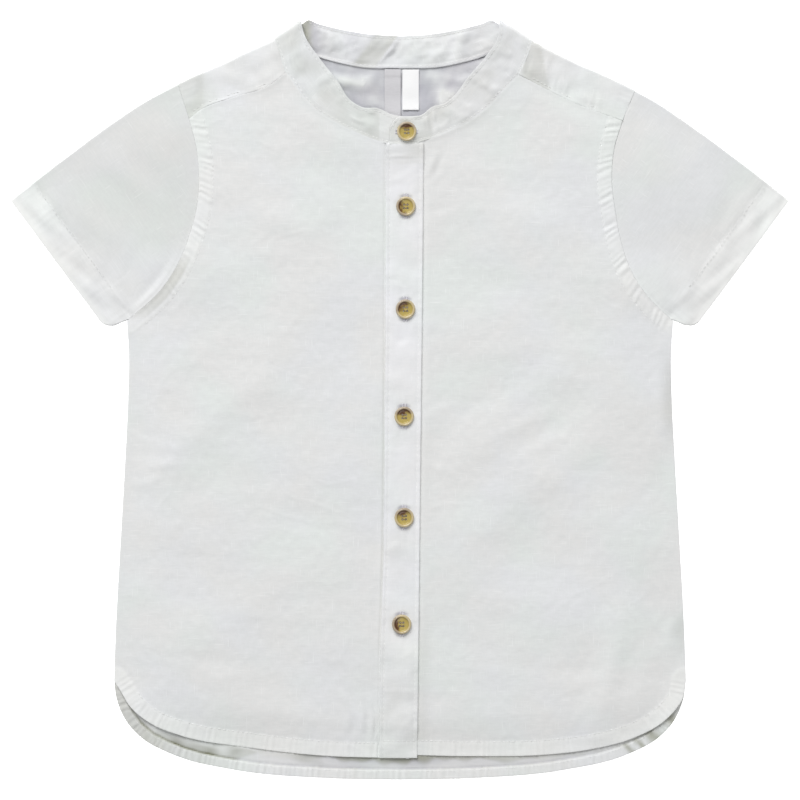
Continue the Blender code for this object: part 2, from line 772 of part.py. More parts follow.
def collar_strand(side):
    """The stations of one front half of the collar, from its side fold to its end.

    Each is a seam point and a top edge point, in space.
    """
    sign, lines = SIGN[side], LINES[side]
    base = joined(lines["neck_strip"], lines["neck"])
    base = moved_sideways(base, -sign * SEAM_GAP / 2)
    top_line = spline(mirrored(COLLAR_TOP[side], side), FINE_STEPS)
    top = at_shares(top_line, shares(base))
    stations = [list(pair) for pair in zip(base, top)]
    if side == "left":
        seam_y = base[-1][1]
        stations += [
            [np.array((low, seam_y)), np.array((high, y))] for low, high, y in COLLAR_END
        ]
    placed = []
    for k, (low, high) in enumerate(stations):
        out = sign * low[0]
        rise = np.clip((COLLAR_RISE_FROM - out) / (COLLAR_RISE_FROM - COLLAR_RISE_TO), 0, 1)
        over = COLLAR_OVERLAP * rise * rise * (3 - 2 * rise) * (side == "left")
        z = COLLAR_FRONT_Z + over
        tilt = np.interp(out, (0, NECK_SIDES[side][0]), (COLLAR_TILT_FRONT, COLLAR_TILT_SIDE))
        if k == 0:
            low, high = [tip_of_collar(line, z + t) for line, t in ((base, 0), (top, tilt))]
        placed.append([(*low, z), (*high, z + tilt)])
    return placed, base, top


def tip_of_collar(line, z):
    return tip_moved_in(line, COLLAR_HALF, COLLAR_BACK_Z, z)[0]


def collar_stations():
    """The collar's stations all round: the end that lies under, the back, the end on top."""
    strands = {side: collar_strand(side) for side in SIGN}
    ring = strands["right"][0][::-1]
    ring += collar_fold(strands["right"])[::-1]
    ring += collar_back(strands)
    ring += collar_fold(strands["left"])
    ring += strands["left"][0]
    return ring


def collar_fold(strand):
    """The stations round a side fold, from the back of the collar to its front."""
    placed, base, top = strand
    edges = []
    for corner, line in zip(placed[0], (base, top)):
        way = (line[1] - line[0]) / np.linalg.norm(line[1] - line[0])
        centre = np.array(corner[:2])
        start = [(*centre, COLLAR_BACK_Z)]
        edges.append(start + folded_edge(centre, -way, COLLAR_BACK_Z, corner[2]))
    return [list(pair) for pair in zip(*edges)]


def collar_back(strands):
    """The stations across the back, with its inner side up."""
    halves = {}
    for side in SIGN:
        base = moved_sideways(LINES[side]["back_neck"], -SIGN[side] * SEAM_GAP / 2)
        placed = strands[side][0][0]
        corner = mirrored(COLLAR_BACK_TOP, side)
        top = spline([placed[1][:2], *corner], FINE_STEPS)
        top = at_shares(top, shares(base))
        halves[side] = [
            [(*low, COLLAR_BACK_Z), (*high, COLLAR_BACK_Z)]
            for low, high in zip(base[1:], top[1:])
        ]
    return halves["right"] + halves["left"][::-1][1:]


def make_collar():
    """The collar band, as its outer and its inner ply."""
    ring = collar_stations()
    rows = COLLAR_ROWS
    points, ways = [], []
    for (low, high), seam_way in zip(ring, collar_ways(ring)):
        low, high = np.array(low), np.array(high)
        points += [tuple(low + (high - low) * k / rows) for k in range(rows + 1)]
        ways += [seam_way] + [NO_POINT] * rows
    faces = grid_faces(np.ones((len(ring) - 1, rows), bool))
    outer = (PLY_MIDDLE - CLOTH / 2, PLY_MIDDLE + CLOTH / 2)
    add_object("collar_outer", *wall(points, faces, *outer, seam_ways=ways))
    add_object("collar_inner", *wall(points, faces, -outer[1], -outer[0], seam_ways=ways))


def collar_ways(ring):
    """The way across the neck seam at each station of the collar."""
    base = np.array([low for low, _ in ring])
    ways = across(base)
    on_fold = np.flatnonzero((base[:, 2] > COLLAR_BACK_Z) & (base[:, 2] < COLLAR_FRONT_Z))
    for group in np.split(on_fold, np.flatnonzero(np.diff(on_fold) > 1) + 1):
        tip = base[group[len(group) // 2]] - base[group[0] - 1]
        fold_way = np.array([-tip[1], tip[0], 0]) / np.linalg.norm(tip[:2])
        ways[group[0] - 1 : group[-1] + 2] = fold_way
    return ways


def make_label(name):
    """A woven label that lies on the inside of the yoke, with its end in the neck seam."""
    x0, x1, y0, y1 = LABELS[name]
    z = UNDER_Z + CLOTH + SEAM_GAP
    columns, rows = np.linspace(x0, x1, 3), np.linspace(y0, y1, 4)
    points = [(x, y, z) for y in rows for x in columns]
    faces = grid_faces(np.ones((len(rows) - 1, len(columns) - 1), bool))
    half = CLOTH / 2
    add_object(name, *wall(points, faces, -half, half), COLOURS["label"], 0.6)


def button_mesh():
    """A four-hole button with a rounded rim round a dished middle."""
    r, edge, middle = BUTTON_RADIUS, BUTTON_EDGE, BUTTON_MIDDLE
    profile = ((0.72 * r, 0), (0.97 * r, 0.35 * edge), (r, 0.7 * edge), (0.9 * r, edge))
    profile += ((0.76 * r, 0.95 * edge), (0.62 * r, middle))
    bm = bmesh.new()
    rings = []
    for radius, z in profile:
        angles = [2 * math.pi * k / BUTTON_SIDES for k in range(BUTTON_SIDES)]
        ring = [(radius * math.cos(a) * MM, radius * math.sin(a) * MM, z * MM) for a in angles]
        rings.append([bm.verts.new(place) for place in ring])
    for low, high in zip(rings, rings[1:]):
        for k in range(BUTTON_SIDES):
            j = (k + 1) % BUTTON_SIDES
            bm.faces.new((low[k], low[j], high[j], high[k]))
    bm.faces.new(rings[0][::-1])
    bm.faces.new(rings[-1])
    mesh = bpy.data.meshes.new("button")
    bm.to_mesh(mesh)
    bm.free()
    blank = bpy.data.objects.new("button_blank", mesh)
    bpy.context.collection.objects.link(blank)
    cutters = [hole_cutter(k) for k in range(4)]
    for cutter in cutters:
        cut = blank.modifiers.new("hole", "BOOLEAN")
        cut.operation = "DIFFERENCE"
        cut.object = cutter
    graph = bpy.context.evaluated_depsgraph_get()
    drilled = bpy.data.meshes.new_from_object(blank.evaluated_get(graph))
    for helper in (blank, *cutters):
        bpy.data.objects.remove(helper)
    return drilled


def hole_cutter(k):
    bm = bmesh.new()
    bmesh.ops.create_cone(
        bm,
        cap_ends=True,
        segments=BUTTON_HOLE_SIDES,
        radius1=BUTTON_HOLE_RADIUS * MM,
        radius2=BUTTON_HOLE_RADIUS * MM,
        depth=3 * BUTTON_EDGE * MM,
    )
    mesh = bpy.data.meshes.new("hole")
    bm.to_mesh(mesh)
    bm.free()
    cutter = bpy.data.objects.new("hole", mesh)
    angle = math.pi / 4 + k * math.pi / 2
    cutter.location = (
        BUTTON_HOLES_RADIUS * math.cos(angle) * MM,
        BUTTON_HOLES_RADIUS * math.sin(angle) * MM,
        0,
    )
    cutter.hide_render = True
    cutter.display_type = "WIRE"
    bpy.context.collection.objects.link(cutter)
    return cutter


def make_buttons():
    """Six buttons: one on the collar's upper end, five down the placket."""
    drilled = button_mesh()
    collar_top = COLLAR_FRONT_Z + COLLAR_OVERLAP + COLLAR_TILT_FRONT + COLLAR_HALF
    for k, (x, y) in enumerate(BUTTONS):
        seat = float(upper_z(x, y)) + PLACKET_ON_FRONT + CLOTH / 2
        z = collar_top if k == 0 else seat
        name = f"button_{k + 1}"
        button = finish_object(name, drilled.copy(), COLOURS["button"], 0.3)
        button.location = (x * MM, y * MM, (z + SEAM_GAP) * MM)


def make_shirt():
    for obj in list(bpy.data.objects):
        bpy.data.objects.remove(obj)
    make_back()
    for side in SIGN:
        make_front(side)
        make_sleeve(side)
    make_yoke()
    make_placket()
    make_collar()
    for name in LABELS:
        make_label(name)
    make_buttons()


make_shirt()
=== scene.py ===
# A toddler's linen shirt with a mandarin collar, laid out flat on its back.
# Tables are in millimetres: x to the wearer's left, y to the collar, z up from the surface.
# "out" is a distance from the centre line, towards the side that the row belongs to.
import math

import bpy
import numpy as np
from mathutils.geometry import delaunay_2d_cdt
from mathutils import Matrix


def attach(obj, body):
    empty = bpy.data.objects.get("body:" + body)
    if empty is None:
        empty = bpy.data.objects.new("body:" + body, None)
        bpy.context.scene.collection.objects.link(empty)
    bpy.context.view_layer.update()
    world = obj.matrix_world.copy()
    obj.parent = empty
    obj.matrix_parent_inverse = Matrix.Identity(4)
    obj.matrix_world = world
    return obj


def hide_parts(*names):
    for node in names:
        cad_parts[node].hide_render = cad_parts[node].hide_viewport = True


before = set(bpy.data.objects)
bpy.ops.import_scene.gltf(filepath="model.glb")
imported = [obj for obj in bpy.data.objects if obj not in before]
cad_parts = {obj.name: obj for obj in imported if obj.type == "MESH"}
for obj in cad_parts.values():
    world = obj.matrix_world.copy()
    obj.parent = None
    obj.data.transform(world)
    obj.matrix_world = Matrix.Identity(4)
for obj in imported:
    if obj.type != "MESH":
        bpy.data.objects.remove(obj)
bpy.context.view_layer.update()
print("frame loaded:", len(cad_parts), "nodes")

mm = 0.001
sign = {"right": -1, "left": 1}

cloth = {
    "wall": 1.0,  # of the solids that these pieces stand for
    "thick": 0.7,  # of the cloth itself
    "bevel": 0.14,  # rounding of every cut or turned edge
    "gap": 0.01,  # between pieces at a seam
    "step": 1.05,  # between the points of a visible panel
    "backStep": 1.6,
    "innerStep": 7.0,  # between the points of a side that nothing shows
    "underZ": 0.5,  # middle of the solid that rests on the surface
    "edgeZ": 1.8,  # middle of the upper layer at a closed edge
    "restingZ": 0.6,  # under this a point is on the layer below
    "betweenZ": 1.3,  # over this it is on the upper one
    "loft": 1.5,
    "loftReach": 17.0,
    "neckReach": 20.0,
    "collarZ": 3.95,  # middle of the collar in front
    "neckEase": 0.7,
    "underarmEase": 0.6,
    "hemRaise": 0.15,
    "hemDrop": 2.0,  # how far the front sinks to the back at its hem
    "neckLift": 1.3,  # how far the left front and placket rise to the collar's upper end
}

# the shirt's own lines: out, y
neckSides = {"right": (69.0, 199.6), "left": (72.6, 198.0)}
underarm, sideEnd = (150.2, 43.4), (157.3, -154.5)
backYokeY = 126.5
cuffTop, cuffBottom = (214.4, 110.0), (164.3, 42.6)
sleeveHem, frontHem, backFacing = 16.0, 8.0, 5.6
backBulge = 3.5  # the back's armhole stands out from the front's
shoulderLine = ((93.5, 187.0), (118.0, 176.0))
backNeckLine = ((56.0, 193.6), (45.0, 188.9), (33.0, 185.6), (22.0, 183.4), (0.0, 182.6))
sleeveTopLine = ((139.4, 165.0), (155.7, 154.2), (171.0, 143.2), (193.0, 126.8), cuffTop)
sleeveUnderLine = (underarm, (161.4, 40.7), cuffBottom)
sideLine = (
    underarm, (149.2, 27.0), (149.6, 0.0), (151.2, -33.0), (154.0, -82.5), (156.6, -132.0), sideEnd,
)
backHemLine = (
    sideEnd, (156.0, -164.0), (150.2, -177.2), (141.9, -186.0), (125.6, -194.8),
    (90.2, -203.6), (41.2, -208.0), (0.0, -208.9),
)
seams = {
    "right": {
        "neckStrip": (neckSides["right"], (66.5, 191.5), (62.7, 180.0)),
        "neck": (
            (62.7, 180.0), (56.6, 171.6), (52.2, 165.4), (46.2, 159.4), (38.5, 154.6),
            (27.0, 148.6), (13.7, 143.2), (5.5, 140.6), (-6.9, 140.0),
        ),
        "yoke": ((62.7, 180.0), (71.5, 173.2), (93.5, 166.0), (109.0, 160.0), (115.9, 154.6)),
        "shoulderEnd": (122.3, 174.0),
        "armhole": (
            (115.9, 154.6), (111.8, 137.5), (110.5, 121.0), (111.7, 106.0), (115.7, 90.6),
            (121.0, 77.0), (131.0, 61.0), underarm,
        ),
        "hem": (
            (154.0, -159.5), (148.0, -169.0), (137.5, -177.6), (121.0, -184.4), (82.5, -191.3),
            (44.0, -195.5), (11.0, -196.8), (-6.6, -197.2),
        ),
    },
    "left": {
        "neckStrip": (neckSides["left"], (70.4, 190.0), (65.3, 178.8)),
        "neck": (
            (65.3, 178.8), (61.0, 174.4), (55.0, 168.2), (49.5, 162.3), (38.5, 153.6),
            (27.5, 148.0), (16.5, 143.6), (9.4, 141.0), (8.9, 140.6),
        ),
        "yoke": ((65.3, 178.8), (77.0, 172.6), (93.5, 164.4), (112.0, 157.2), (122.3, 153.6)),
        "shoulderEnd": (129.4, 170.4),
        "armhole": (
            (122.3, 153.6), (117.6, 137.5), (116.4, 121.0), (118.6, 102.0), (122.0, 85.0),
            (128.0, 69.0), (137.0, 56.0), underarm,
        ),
        "hem": (
            (155.4, -164.0), (150.2, -171.6), (143.0, -178.2), (126.5, -186.6), (104.5, -192.2),
            (82.5, -194.9), (38.5, -195.9), (5.4, -195.3),
        ),
    },
}
# y, out of its free edge on the wearer's right, out of its seam on the left
placketEdges = (
    (139.9, -7.5, 12.9), (60.0, -7.8, 12.3), (-20.0, -8.2, 11.4), (-82.0, -8.8, 10.7),
    (-140.0, -10.6, 10.1), (-196.9, -11.3, 9.4),
)
frontEdges = {"right": -6.2, "left": -3.9}  # each front's own edge, from the placket's seam
# broad folds, as in the solids: from, to, half width, height
broadFolds = (
    ((147.0, 25.0), (144.0, -30.0), 8.0, 0.8),
    ((152.0, -112.0), (152.0, -146.0), 7.0, 0.6),
    ((122.0, -122.0), (108.0, -182.0), 10.0, 0.9),
    ((-16.0, -60.0), (-15.0, -190.0), 8.0, -0.5),
    ((30.0, -34.0), (90.0, 14.0), 11.0, 0.8),
    ((42.0, -74.0), (104.0, -20.0), 12.0, 0.7),
    ((-104.0, 74.0), (-40.0, 108.0), 15.0, 0.7),
    ((-138.0, -42.0), (-78.0, 10.0), 11.0, 0.8),
    ((-122.0, -134.0), (-40.0, -88.0), 16.0, 0.7),
    ((38.0, 78.0), (106.0, 110.0), 15.0, 0.6),
    ((-188.0, 104.0), (-138.0, 76.0), 10.0, 0.6),
    ((-162.0, 134.0), (-132.0, 94.0), 9.0, 0.5),
    ((160.0, 130.0), (178.0, 74.0), 10.0, 0.6),
    ((138.0, 144.0), (132.0, 94.0), 9.0, 0.5),
)


# curves in the plane
def spline(points, segments):
    points = np.array(points, float)
    along = lengths(points)
    slopes = np.gradient(points, along, axis=0)
    fine = np.linspace(0, along[-1], 40 * len(points))
    i = np.clip(np.searchsorted(along, fine, side="right") - 1, 0, len(points) - 2)
    width = (along[i + 1] - along[i])[:, None]
    t = ((fine - along[i]) / width[:, 0])[:, None]
    curve = (
        (1 + 2 * t) * (1 - t) ** 2 * points[i]
        + t * (1 - t) ** 2 * width * slopes[i]
        + t**2 * (3 - 2 * t) * points[i + 1]
        + t**2 * (t - 1) * width * slopes[i + 1]
    )
    return even(curve, segments)


def lengths(line):
    return np.concatenate([[0], np.cumsum(np.linalg.norm(np.diff(line, axis=0), axis=1))])


def shares(line):
    return lengths(line) / lengths(line)[-1]


def atShares(line, wanted):
    line = np.asarray(line, float)
    return np.stack([np.interp(wanted, shares(line), line[:, k]) for k in range(line.shape[1])], 1)


def even(line, segments):
    return atShares(line, np.linspace(0, 1, segments + 1))


def splitAtY(line, y):
    first = int(np.argmax(line[:, 1] < y))
    share = (line[first - 1][1] - y) / (line[first - 1][1] - line[first][1])
    cut = line[first - 1] + share * (line[first] - line[first - 1])
    return np.array([*line[:first], cut]), np.array([cut, *line[first:]])


def joined(*lines):
    return np.concatenate([lines[0]] + [line[1:] for line in lines[1:]])


def unit(ways, least=0.0):
    return ways / np.maximum(np.linalg.norm(ways, axis=1), least)[:, None]


def leftOf(ways):
    return np.stack([-ways[:, 1], ways[:, 0]], axis=1)


def sideways(line, distance):
    # moved to its left, with mitred corners
    left = leftOf(unit(np.diff(line, axis=0)))
    before, after = np.concatenate([left[:1], left]), np.concatenate([left, left[-1:]])
    corner = before + after
    corner /= np.maximum((corner * after).sum(1), 0.5)[:, None]
    return line + distance * corner


def inset(outline, distances):
    # a closed anticlockwise outline with each side moved inwards by its own distance
    way = unit(np.roll(outline, -1, axis=0) - outline)
    left = leftOf(way)
    moved = []
    for i in range(len(outline)):
        first, second = left[i - 1], left[i]
        across = way[i - 1] @ second
        if abs(across) > 0.2:
            step = (distances[i] - distances[i - 1] * (first @ second)) / across
            moved.append(outline[i] + distances[i - 1] * first + step * way[i - 1])
        else:
            mean = max(distances[i - 1], distances[i])
            moved.append(outline[i] + mean * (first + second) / (1 + first @ second))
    return np.array(moved)


def nearest(line, x, y):
    # distance to a line, how far along it the nearest place is, and the side: 1 on its left
    place = np.stack([np.ravel(x), np.ravel(y)], axis=1)
    best, along, side = np.full(len(place), np.inf), np.zeros(len(place)), np.ones(len(place))
    start = lengths(line)
    for k, (a, b) in enumerate(zip(line[:-1], line[1:])):
        way = b - a
        off = place - a
        t = np.clip(off @ way / (way @ way), 0, 1)
        distance = np.linalg.norm(off - t[:, None] * way, axis=1)
        closer = distance < best
        best[closer] = distance[closer]
        along[closer] = start[k] + t[closer] * (start[k + 1] - start[k])
        cross = way[0] * off[:, 1] - way[1] * off[:, 0]
        side[closer] = np.sign(cross[closer])
    shape = np.shape(x)
    return best.reshape(shape), along.reshape(shape), side.reshape(shape)


def distanceTo(line, x, y):
    return nearest(line, x, y)[0]


def lifted(path, height):
    # a path in the plane set at its height, one for all its points or one for each
    return np.column_stack([path, np.zeros(len(path)) + height])


def mirrored(line, side):
    return np.array(line, float) * (sign[side], 1)


def placketEdge(y, column):
    rows = np.array(placketEdges)[::-1]
    return np.interp(y, rows[:, 0], rows[:, column])


def shirtLines(side, times):
    # the same points serve both pieces of each seam; times multiplies the solids' own steps
    own = {name: mirrored(line, side) for name, line in seams[side].items()}
    armholeTop = np.array([own["shoulderEnd"], own["armhole"][0]])
    above, below = splitAtY(spline(own["armhole"], 240), backYokeY)
    front = joined(even(armholeTop, 2 * times), even(above, 3 * times), even(below, 8 * times))
    bulge = backBulge * np.sin(math.pi * shares(front))[:, None] * (sign[side], 0)
    neckSide = mirrored(neckSides[side], side)
    shoulder = np.array([neckSide, *mirrored(shoulderLine, side), own["shoulderEnd"]])
    top = np.concatenate([[own["shoulderEnd"]], mirrored(sleeveTopLine, side)])
    lines = {
        "armholeFront": front,
        "armholeBack": front + bulge,
        "neckStrip": even(own["neckStrip"], 2 * times),
        "neck": spline(own["neck"], 9 * times),
        "yoke": spline(own["yoke"], 5 * times),
        "shoulder": spline(shoulder, 5 * times),
        "sleeveTop": spline(top, 24 * times),
        "sleeveUnder": spline(mirrored(sleeveUnderLine, side), 6 * times),
        "side": spline(mirrored(sideLine, side), 18 * times),
        "frontHem": spline([mirrored(sideEnd, side), *own["hem"]], 18 * times),
        "backHem": spline(mirrored(backHemLine, side), 18 * times),
        "backNeck": spline([neckSide, *mirrored(backNeckLine, side)], 8 * times),
    }
    for name in ("neck", "frontHem"):
        y = lines[name][-1][1]
        lines[name][-1] = (placketEdge(y, 2) + frontEdges[side], y)
    return lines


fineSteps = 9  # how many steps of a fine line make one of the solids' own
yokeFront, yokeBack = 2 * fineSteps, 5 * fineSteps  # the fine armholes' steps that are the yoke's
coarse = {side: shirtLines(side, 1) for side in sign}  # for distances
fine = {side: shirtLines(side, fineSteps) for side in sign}  # for the pieces' edges
wholeFrontHem = np.concatenate([coarse["right"]["frontHem"], coarse["left"]["frontHem"][::-1]])
wholeHem = joined(coarse["right"]["backHem"], coarse["left"]["backHem"][::-1])


# how the upper layer lies
def swell(x, y, size, seed, waves=16):
    # a smooth random height of about 1, with no pattern smaller than the size
    rng = np.random.default_rng(seed)
    total = np.zeros(np.shape(x))
    for _ in range(waves):
        turn, long, start = rng.uniform(0, 2 * math.pi), size * rng.uniform(0.75, 1.7), rng.uniform(0, 9)
        total += np.sin((x * math.cos(turn) + y * math.sin(turn)) * 2 * math.pi / long + start)
    return total / math.sqrt(waves / 2)


def ripple(along, spacing, seed):
    # uneven small waves along a seam, about 1 high
    a = 2 * math.pi * along / spacing
    bend = 1.3 * np.sin(a / 3.7 + seed) + 0.9 * np.sin(a / 8.3 + 2 * seed)
    return np.sin(a + bend) * (0.65 + 0.35 * np.sin(a / 5.1 + 3 * seed))


def rise(value, low, high):
    # from 0 at low to 1 at high, softly
    t = np.clip((value - low) / (high - low), 0, 1)
    return t * t * (3 - 2 * t)


def bandTo(distance, edge, before, after):
    # 1 from a piece's edge to where its band ends, and 0 past it
    return 1 - rise(distance, edge - before, edge + after)


def hump(value, width, power=2):
    # 1 at 0, falling away softly on both sides; a higher power makes it flatter on top
    return np.exp(-((value / width) ** power))


def creased(x, y, rows):
    # ridge and trough side by side, uneven along the crease and fading out at its ends
    total = np.zeros(np.shape(x))
    for number, (points, width, height) in enumerate(rows):
        line = spline(points, 12)
        distance, along, side = nearest(line, x, y)
        share = along / lengths(line)[-1]
        t = distance * side / width
        body = hump(t, 1) - 0.7 * hump(t - 1.5, 1)
        fade = np.sin(math.pi * np.clip(share, 0, 1)) ** 0.7
        uneven = 0.8 + 0.35 * np.sin(along / (2.3 * width) + number)
        total += height * body * fade * uneven
    return total


def upperZ(x, y):
    # the middle of the solids' upper layer: closed edges low, the rest lofted, folded softly
    x, y = np.asarray(x, float), np.asarray(y, float)
    closed, neck = np.full(x.shape, np.inf), np.full(x.shape, np.inf)
    for side in sign:
        lines = coarse[side]
        for name in ("shoulder", "sleeveTop", "sleeveUnder", "side"):
            closed = np.minimum(closed, distanceTo(lines[name], x, y))
        neck = np.minimum(neck, distanceTo(joined(lines["neckStrip"], lines["neck"]), x, y))
    away = 1 - hump(closed, cloth["loftReach"])
    z = cloth["edgeZ"] + cloth["loft"] * away
    calm = away * (1 - hump(x, 24.0, 4))
    for start, end, width, height in broadFolds:
        across = distanceTo(np.array([start, end]), x, y)
        z = z + calm * height * hump(across, width)
    nearNeck = hump(neck, cloth["neckReach"])
    return np.maximum(z + (cloth["collarZ"] - z) * nearNeck, cloth["edgeZ"])


def hemSag(x, y):
    # uneven, and nearly nothing at the wearer's right, where the two hems lie apart
    distance = distanceTo(wholeFrontHem, x, y)
    deep = 1 - 0.45 * hump(x + 128, 26) + 0.12 * np.sin(x / 19.0)
    return cloth["hemDrop"] * deep * (1 - rise(distance, 0, 24)) * rise(157 - np.abs(x), 4, 24)


def neckRise(x, y):
    distance = np.where(x < 10, np.abs(y - 140.4), distanceTo(coarse["left"]["neck"], x, y))
    return cloth["neckLift"] * rise(x, 30, 8) * rise(x, -16, -9) * hump(distance, 9)


def crumple(x, y, seed, rough=1.0):
    # laundered linen: broad swells, soft dents and a few thin wandering wrinkles
    broad = 0.22 * swell(x, y, 60, seed)
    dents = 0.055 * swell(x, y, 21, seed + 1)
    small = 0.034 * swell(x, y, 6.5, seed + 2, 24) + 0.010 * swell(x, y, 3.6, seed + 5, 24)
    lines = hump(swell(x, y, 34, seed + 3), 0.10)
    lines *= rise(swell(x, y, 48, seed + 4), 0.2, 1.1)
    return broad + dents + rough * small + 0.10 * lines


# meshes
def weighNormals(mesh):
    # by area, so that a narrow turned edge doesn't bend the light on the cloth beside it
    vertex, total = np.empty(len(mesh.loops), np.int32), np.empty(len(mesh.polygons), np.int32)
    way, area = np.empty(len(mesh.polygons) * 3), np.empty(len(mesh.polygons))
    mesh.loops.foreach_get("vertex_index", vertex)
    mesh.polygons.foreach_get("loop_total", total)
    mesh.polygons.foreach_get("normal", way)
    mesh.polygons.foreach_get("area", area)
    normals = np.zeros((len(mesh.vertices), 3))
    np.add.at(normals, vertex, np.repeat(way.reshape(-1, 3) * area[:, None], total, axis=0))
    mesh.normals_split_custom_set_from_vertices(unit(normals, 1e-15).tolist())


def addObject(name, points, faces, grain, material, layersAndPaintedShade=0.0, olive=1.0, weighed=True):
    # grain is each point's place in the piece's own cut, in mm: across the cloth, then along it;
    # layers is 1 where doubled cloth looks whiter, -1 where painted shade lies and -2 where it is deepest;
    # olive is 1 where both are a little yellow and 0 where they are a little lilac
    mesh = bpy.data.meshes.new(name)
    mesh.from_pydata((np.asarray(points) * mm).tolist(), [], faces)
    mesh.update()
    corner = np.empty(len(mesh.loops), np.int32)
    mesh.loops.foreach_get("vertex_index", corner)
    layer = mesh.uv_layers.new(name="grain")
    layer.data.foreach_set("uv", np.asarray(grain, float)[corner].ravel())
    for kind, values in (("layersAndPaintedShade", layersAndPaintedShade), ("olive", olive)):
        attribute = mesh.attributes.new(kind, "FLOAT", "POINT")
        attribute.data.foreach_set("value", np.zeros(len(points)) + values)
    mesh.shade_smooth()
    if weighed:
        weighNormals(mesh)
    mesh.materials.append(material)
    obj = bpy.data.objects.new(name, mesh)
    bpy.context.collection.objects.link(obj)
    return obj


def rimOf(points, faces, normals):
    # the outer edges of an open surface, and the way out of it at each of their points
    n = len(points)
    a = np.concatenate([faces[:, k] for k in range(faces.shape[1])])
    b = np.concatenate([faces[:, (k + 1) % faces.shape[1]] for k in range(faces.shape[1])])
    lone = ~np.isin(a * n + b, b * n + a)
    a, b = a[lone], b[lone]
    out = np.zeros((n, 3))
    way = unit(np.cross(points[b] - points[a], normals[a] + normals[b]), 1e-9)
    np.add.at(out, a, way)
    np.add.at(out, b, way)
    size = np.linalg.norm(out, axis=1)
    out[size > 0] /= size[size > 0][:, None]
    return a, b, out


def normalsOf(points, faces):
    normals = np.zeros_like(points)
    corners = [points[faces[:, k]] for k in range(faces.shape[1])]
    area = np.cross(corners[2] - corners[0], corners[-1] - corners[1])
    if faces.shape[1] == 3:
        area = np.cross(corners[1] - corners[0], corners[2] - corners[0])
    for k in range(faces.shape[1]):
        np.add.at(normals, faces[:, k], area)
    return normals


def wall(points, faces, low, high, extra=0.0, ways=None):
    # a wall of cloth with rounded edges about a middle surface; extra lifts its outer side,
    # and ways are the ways across a seam at the points on one
    points, faces = np.asarray(points, float), np.asarray(faces, int)
    normals = normalsOf(points, faces)
    if ways is not None:
        normals -= ways * (normals * ways).sum(1)[:, None]
    normals = unit(normals, 1e-9)
    a, b, out = rimOf(points, faces, normals)
    high = (high + np.zeros(len(points)) + extra)[:, None]
    low = (low + np.zeros(len(points)) + extra)[:, None]
    r = cloth["bevel"]
    n = len(points)
    rings = [
        points + normals * high - out * r,
        points + normals * low - out * r,
        points + normals * (high - r),
        points + normals * (low + r),
    ]
    onRim = np.flatnonzero(np.abs(out).sum(1) > 0)
    place = np.zeros(n, int)
    place[onRim] = np.arange(len(onRim))
    side, under = 2 * n + place, 2 * n + len(onRim) + place
    made = [tuple(f) for f in faces.tolist()] + [tuple(f) for f in (faces[:, ::-1] + n).tolist()]
    made += np.stack([b, a, side[a], side[b]], 1).tolist()
    made += np.stack([side[b], side[a], under[a], under[b]], 1).tolist()
    made += np.stack([under[b], under[a], a + n, b + n], 1).tolist()
    every = np.concatenate([rings[0], rings[1], rings[2][onRim], rings[3][onRim]])
    source = np.concatenate([np.arange(n), np.arange(n), onRim, onRim])
    return every, made, source


def gridFaces(rows, columns):
    across = columns + 1
    i, j = np.meshgrid(np.arange(rows), np.arange(columns), indexing="ij")
    start = (i * across + j).ravel()
    return np.stack([start, start + 1, start + across + 1, start + across], 1)


def inside(outline, places):
    x, y = places[:, 0], places[:, 1]
    hit = np.zeros(len(places), bool)
    for a, b in zip(outline, np.roll(outline, -1, axis=0)):
        crosses = (a[1] > y) != (b[1] > y)
        gap = b[1] - a[1] if b[1] != a[1] else 1e-9
        hit ^= crosses & (x < (b[0] - a[0]) * (y - a[1]) / gap + a[0])
    return hit


def scattered(outline, step, rng):
    low, high = outline.min(0), outline.max(0)
    rows = np.arange(low[1] + step / 2, high[1], step * math.sqrt(0.75))
    inner = np.array([
        (x, y)
        for k, y in enumerate(rows)
        for x in np.arange(low[0] + step * (0.25 + 0.5 * (k % 2)), high[0], step)
    ])
    inner = inner + rng.uniform(-0.12, 0.12, inner.shape) * step
    inner = inner[inside(outline, inner)]
    ring = np.concatenate([outline, outline[:1]])
    return inner[distanceTo(ring, *inner.T) > 0.55 * step]


def usedOnly(faces, count):
    # the points that the faces use, and the faces on those points alone
    used = np.unique(faces)
    new = np.zeros(count, int)
    new[used] = np.arange(len(used))
    return used, new[faces]


def filled(outline, step, seed, finer=None):
    # points and triangles inside an outline; the outline's points come first
    rng = np.random.default_rng(seed)
    inner = scattered(outline, step, rng)
    if finer:
        line, reach, fineStep = finer
        extra = scattered(outline, fineStep, rng)
        inner = inner[distanceTo(line, *inner.T) > reach]
        inner = np.concatenate([inner, extra[distanceTo(line, *extra.T) < reach]])
    points = np.concatenate([outline, inner])
    face = list(range(len(outline)))
    found = delaunay_2d_cdt([tuple(p) for p in points], [], [face], 1, 1e-7)
    flat = np.array([tuple(p) for p in found[0]])
    used, triangles = usedOnly(np.array([tuple(t) for t in found[2]]), len(flat))
    flat = flat[used]
    first, second = (flat[triangles[:, k]] - flat[triangles[:, 0]] for k in (1, 2))
    down = first[:, 0] * second[:, 1] - first[:, 1] * second[:, 0] < 0
    triangles[down] = triangles[down][:, ::-1]
    return flat, triangles


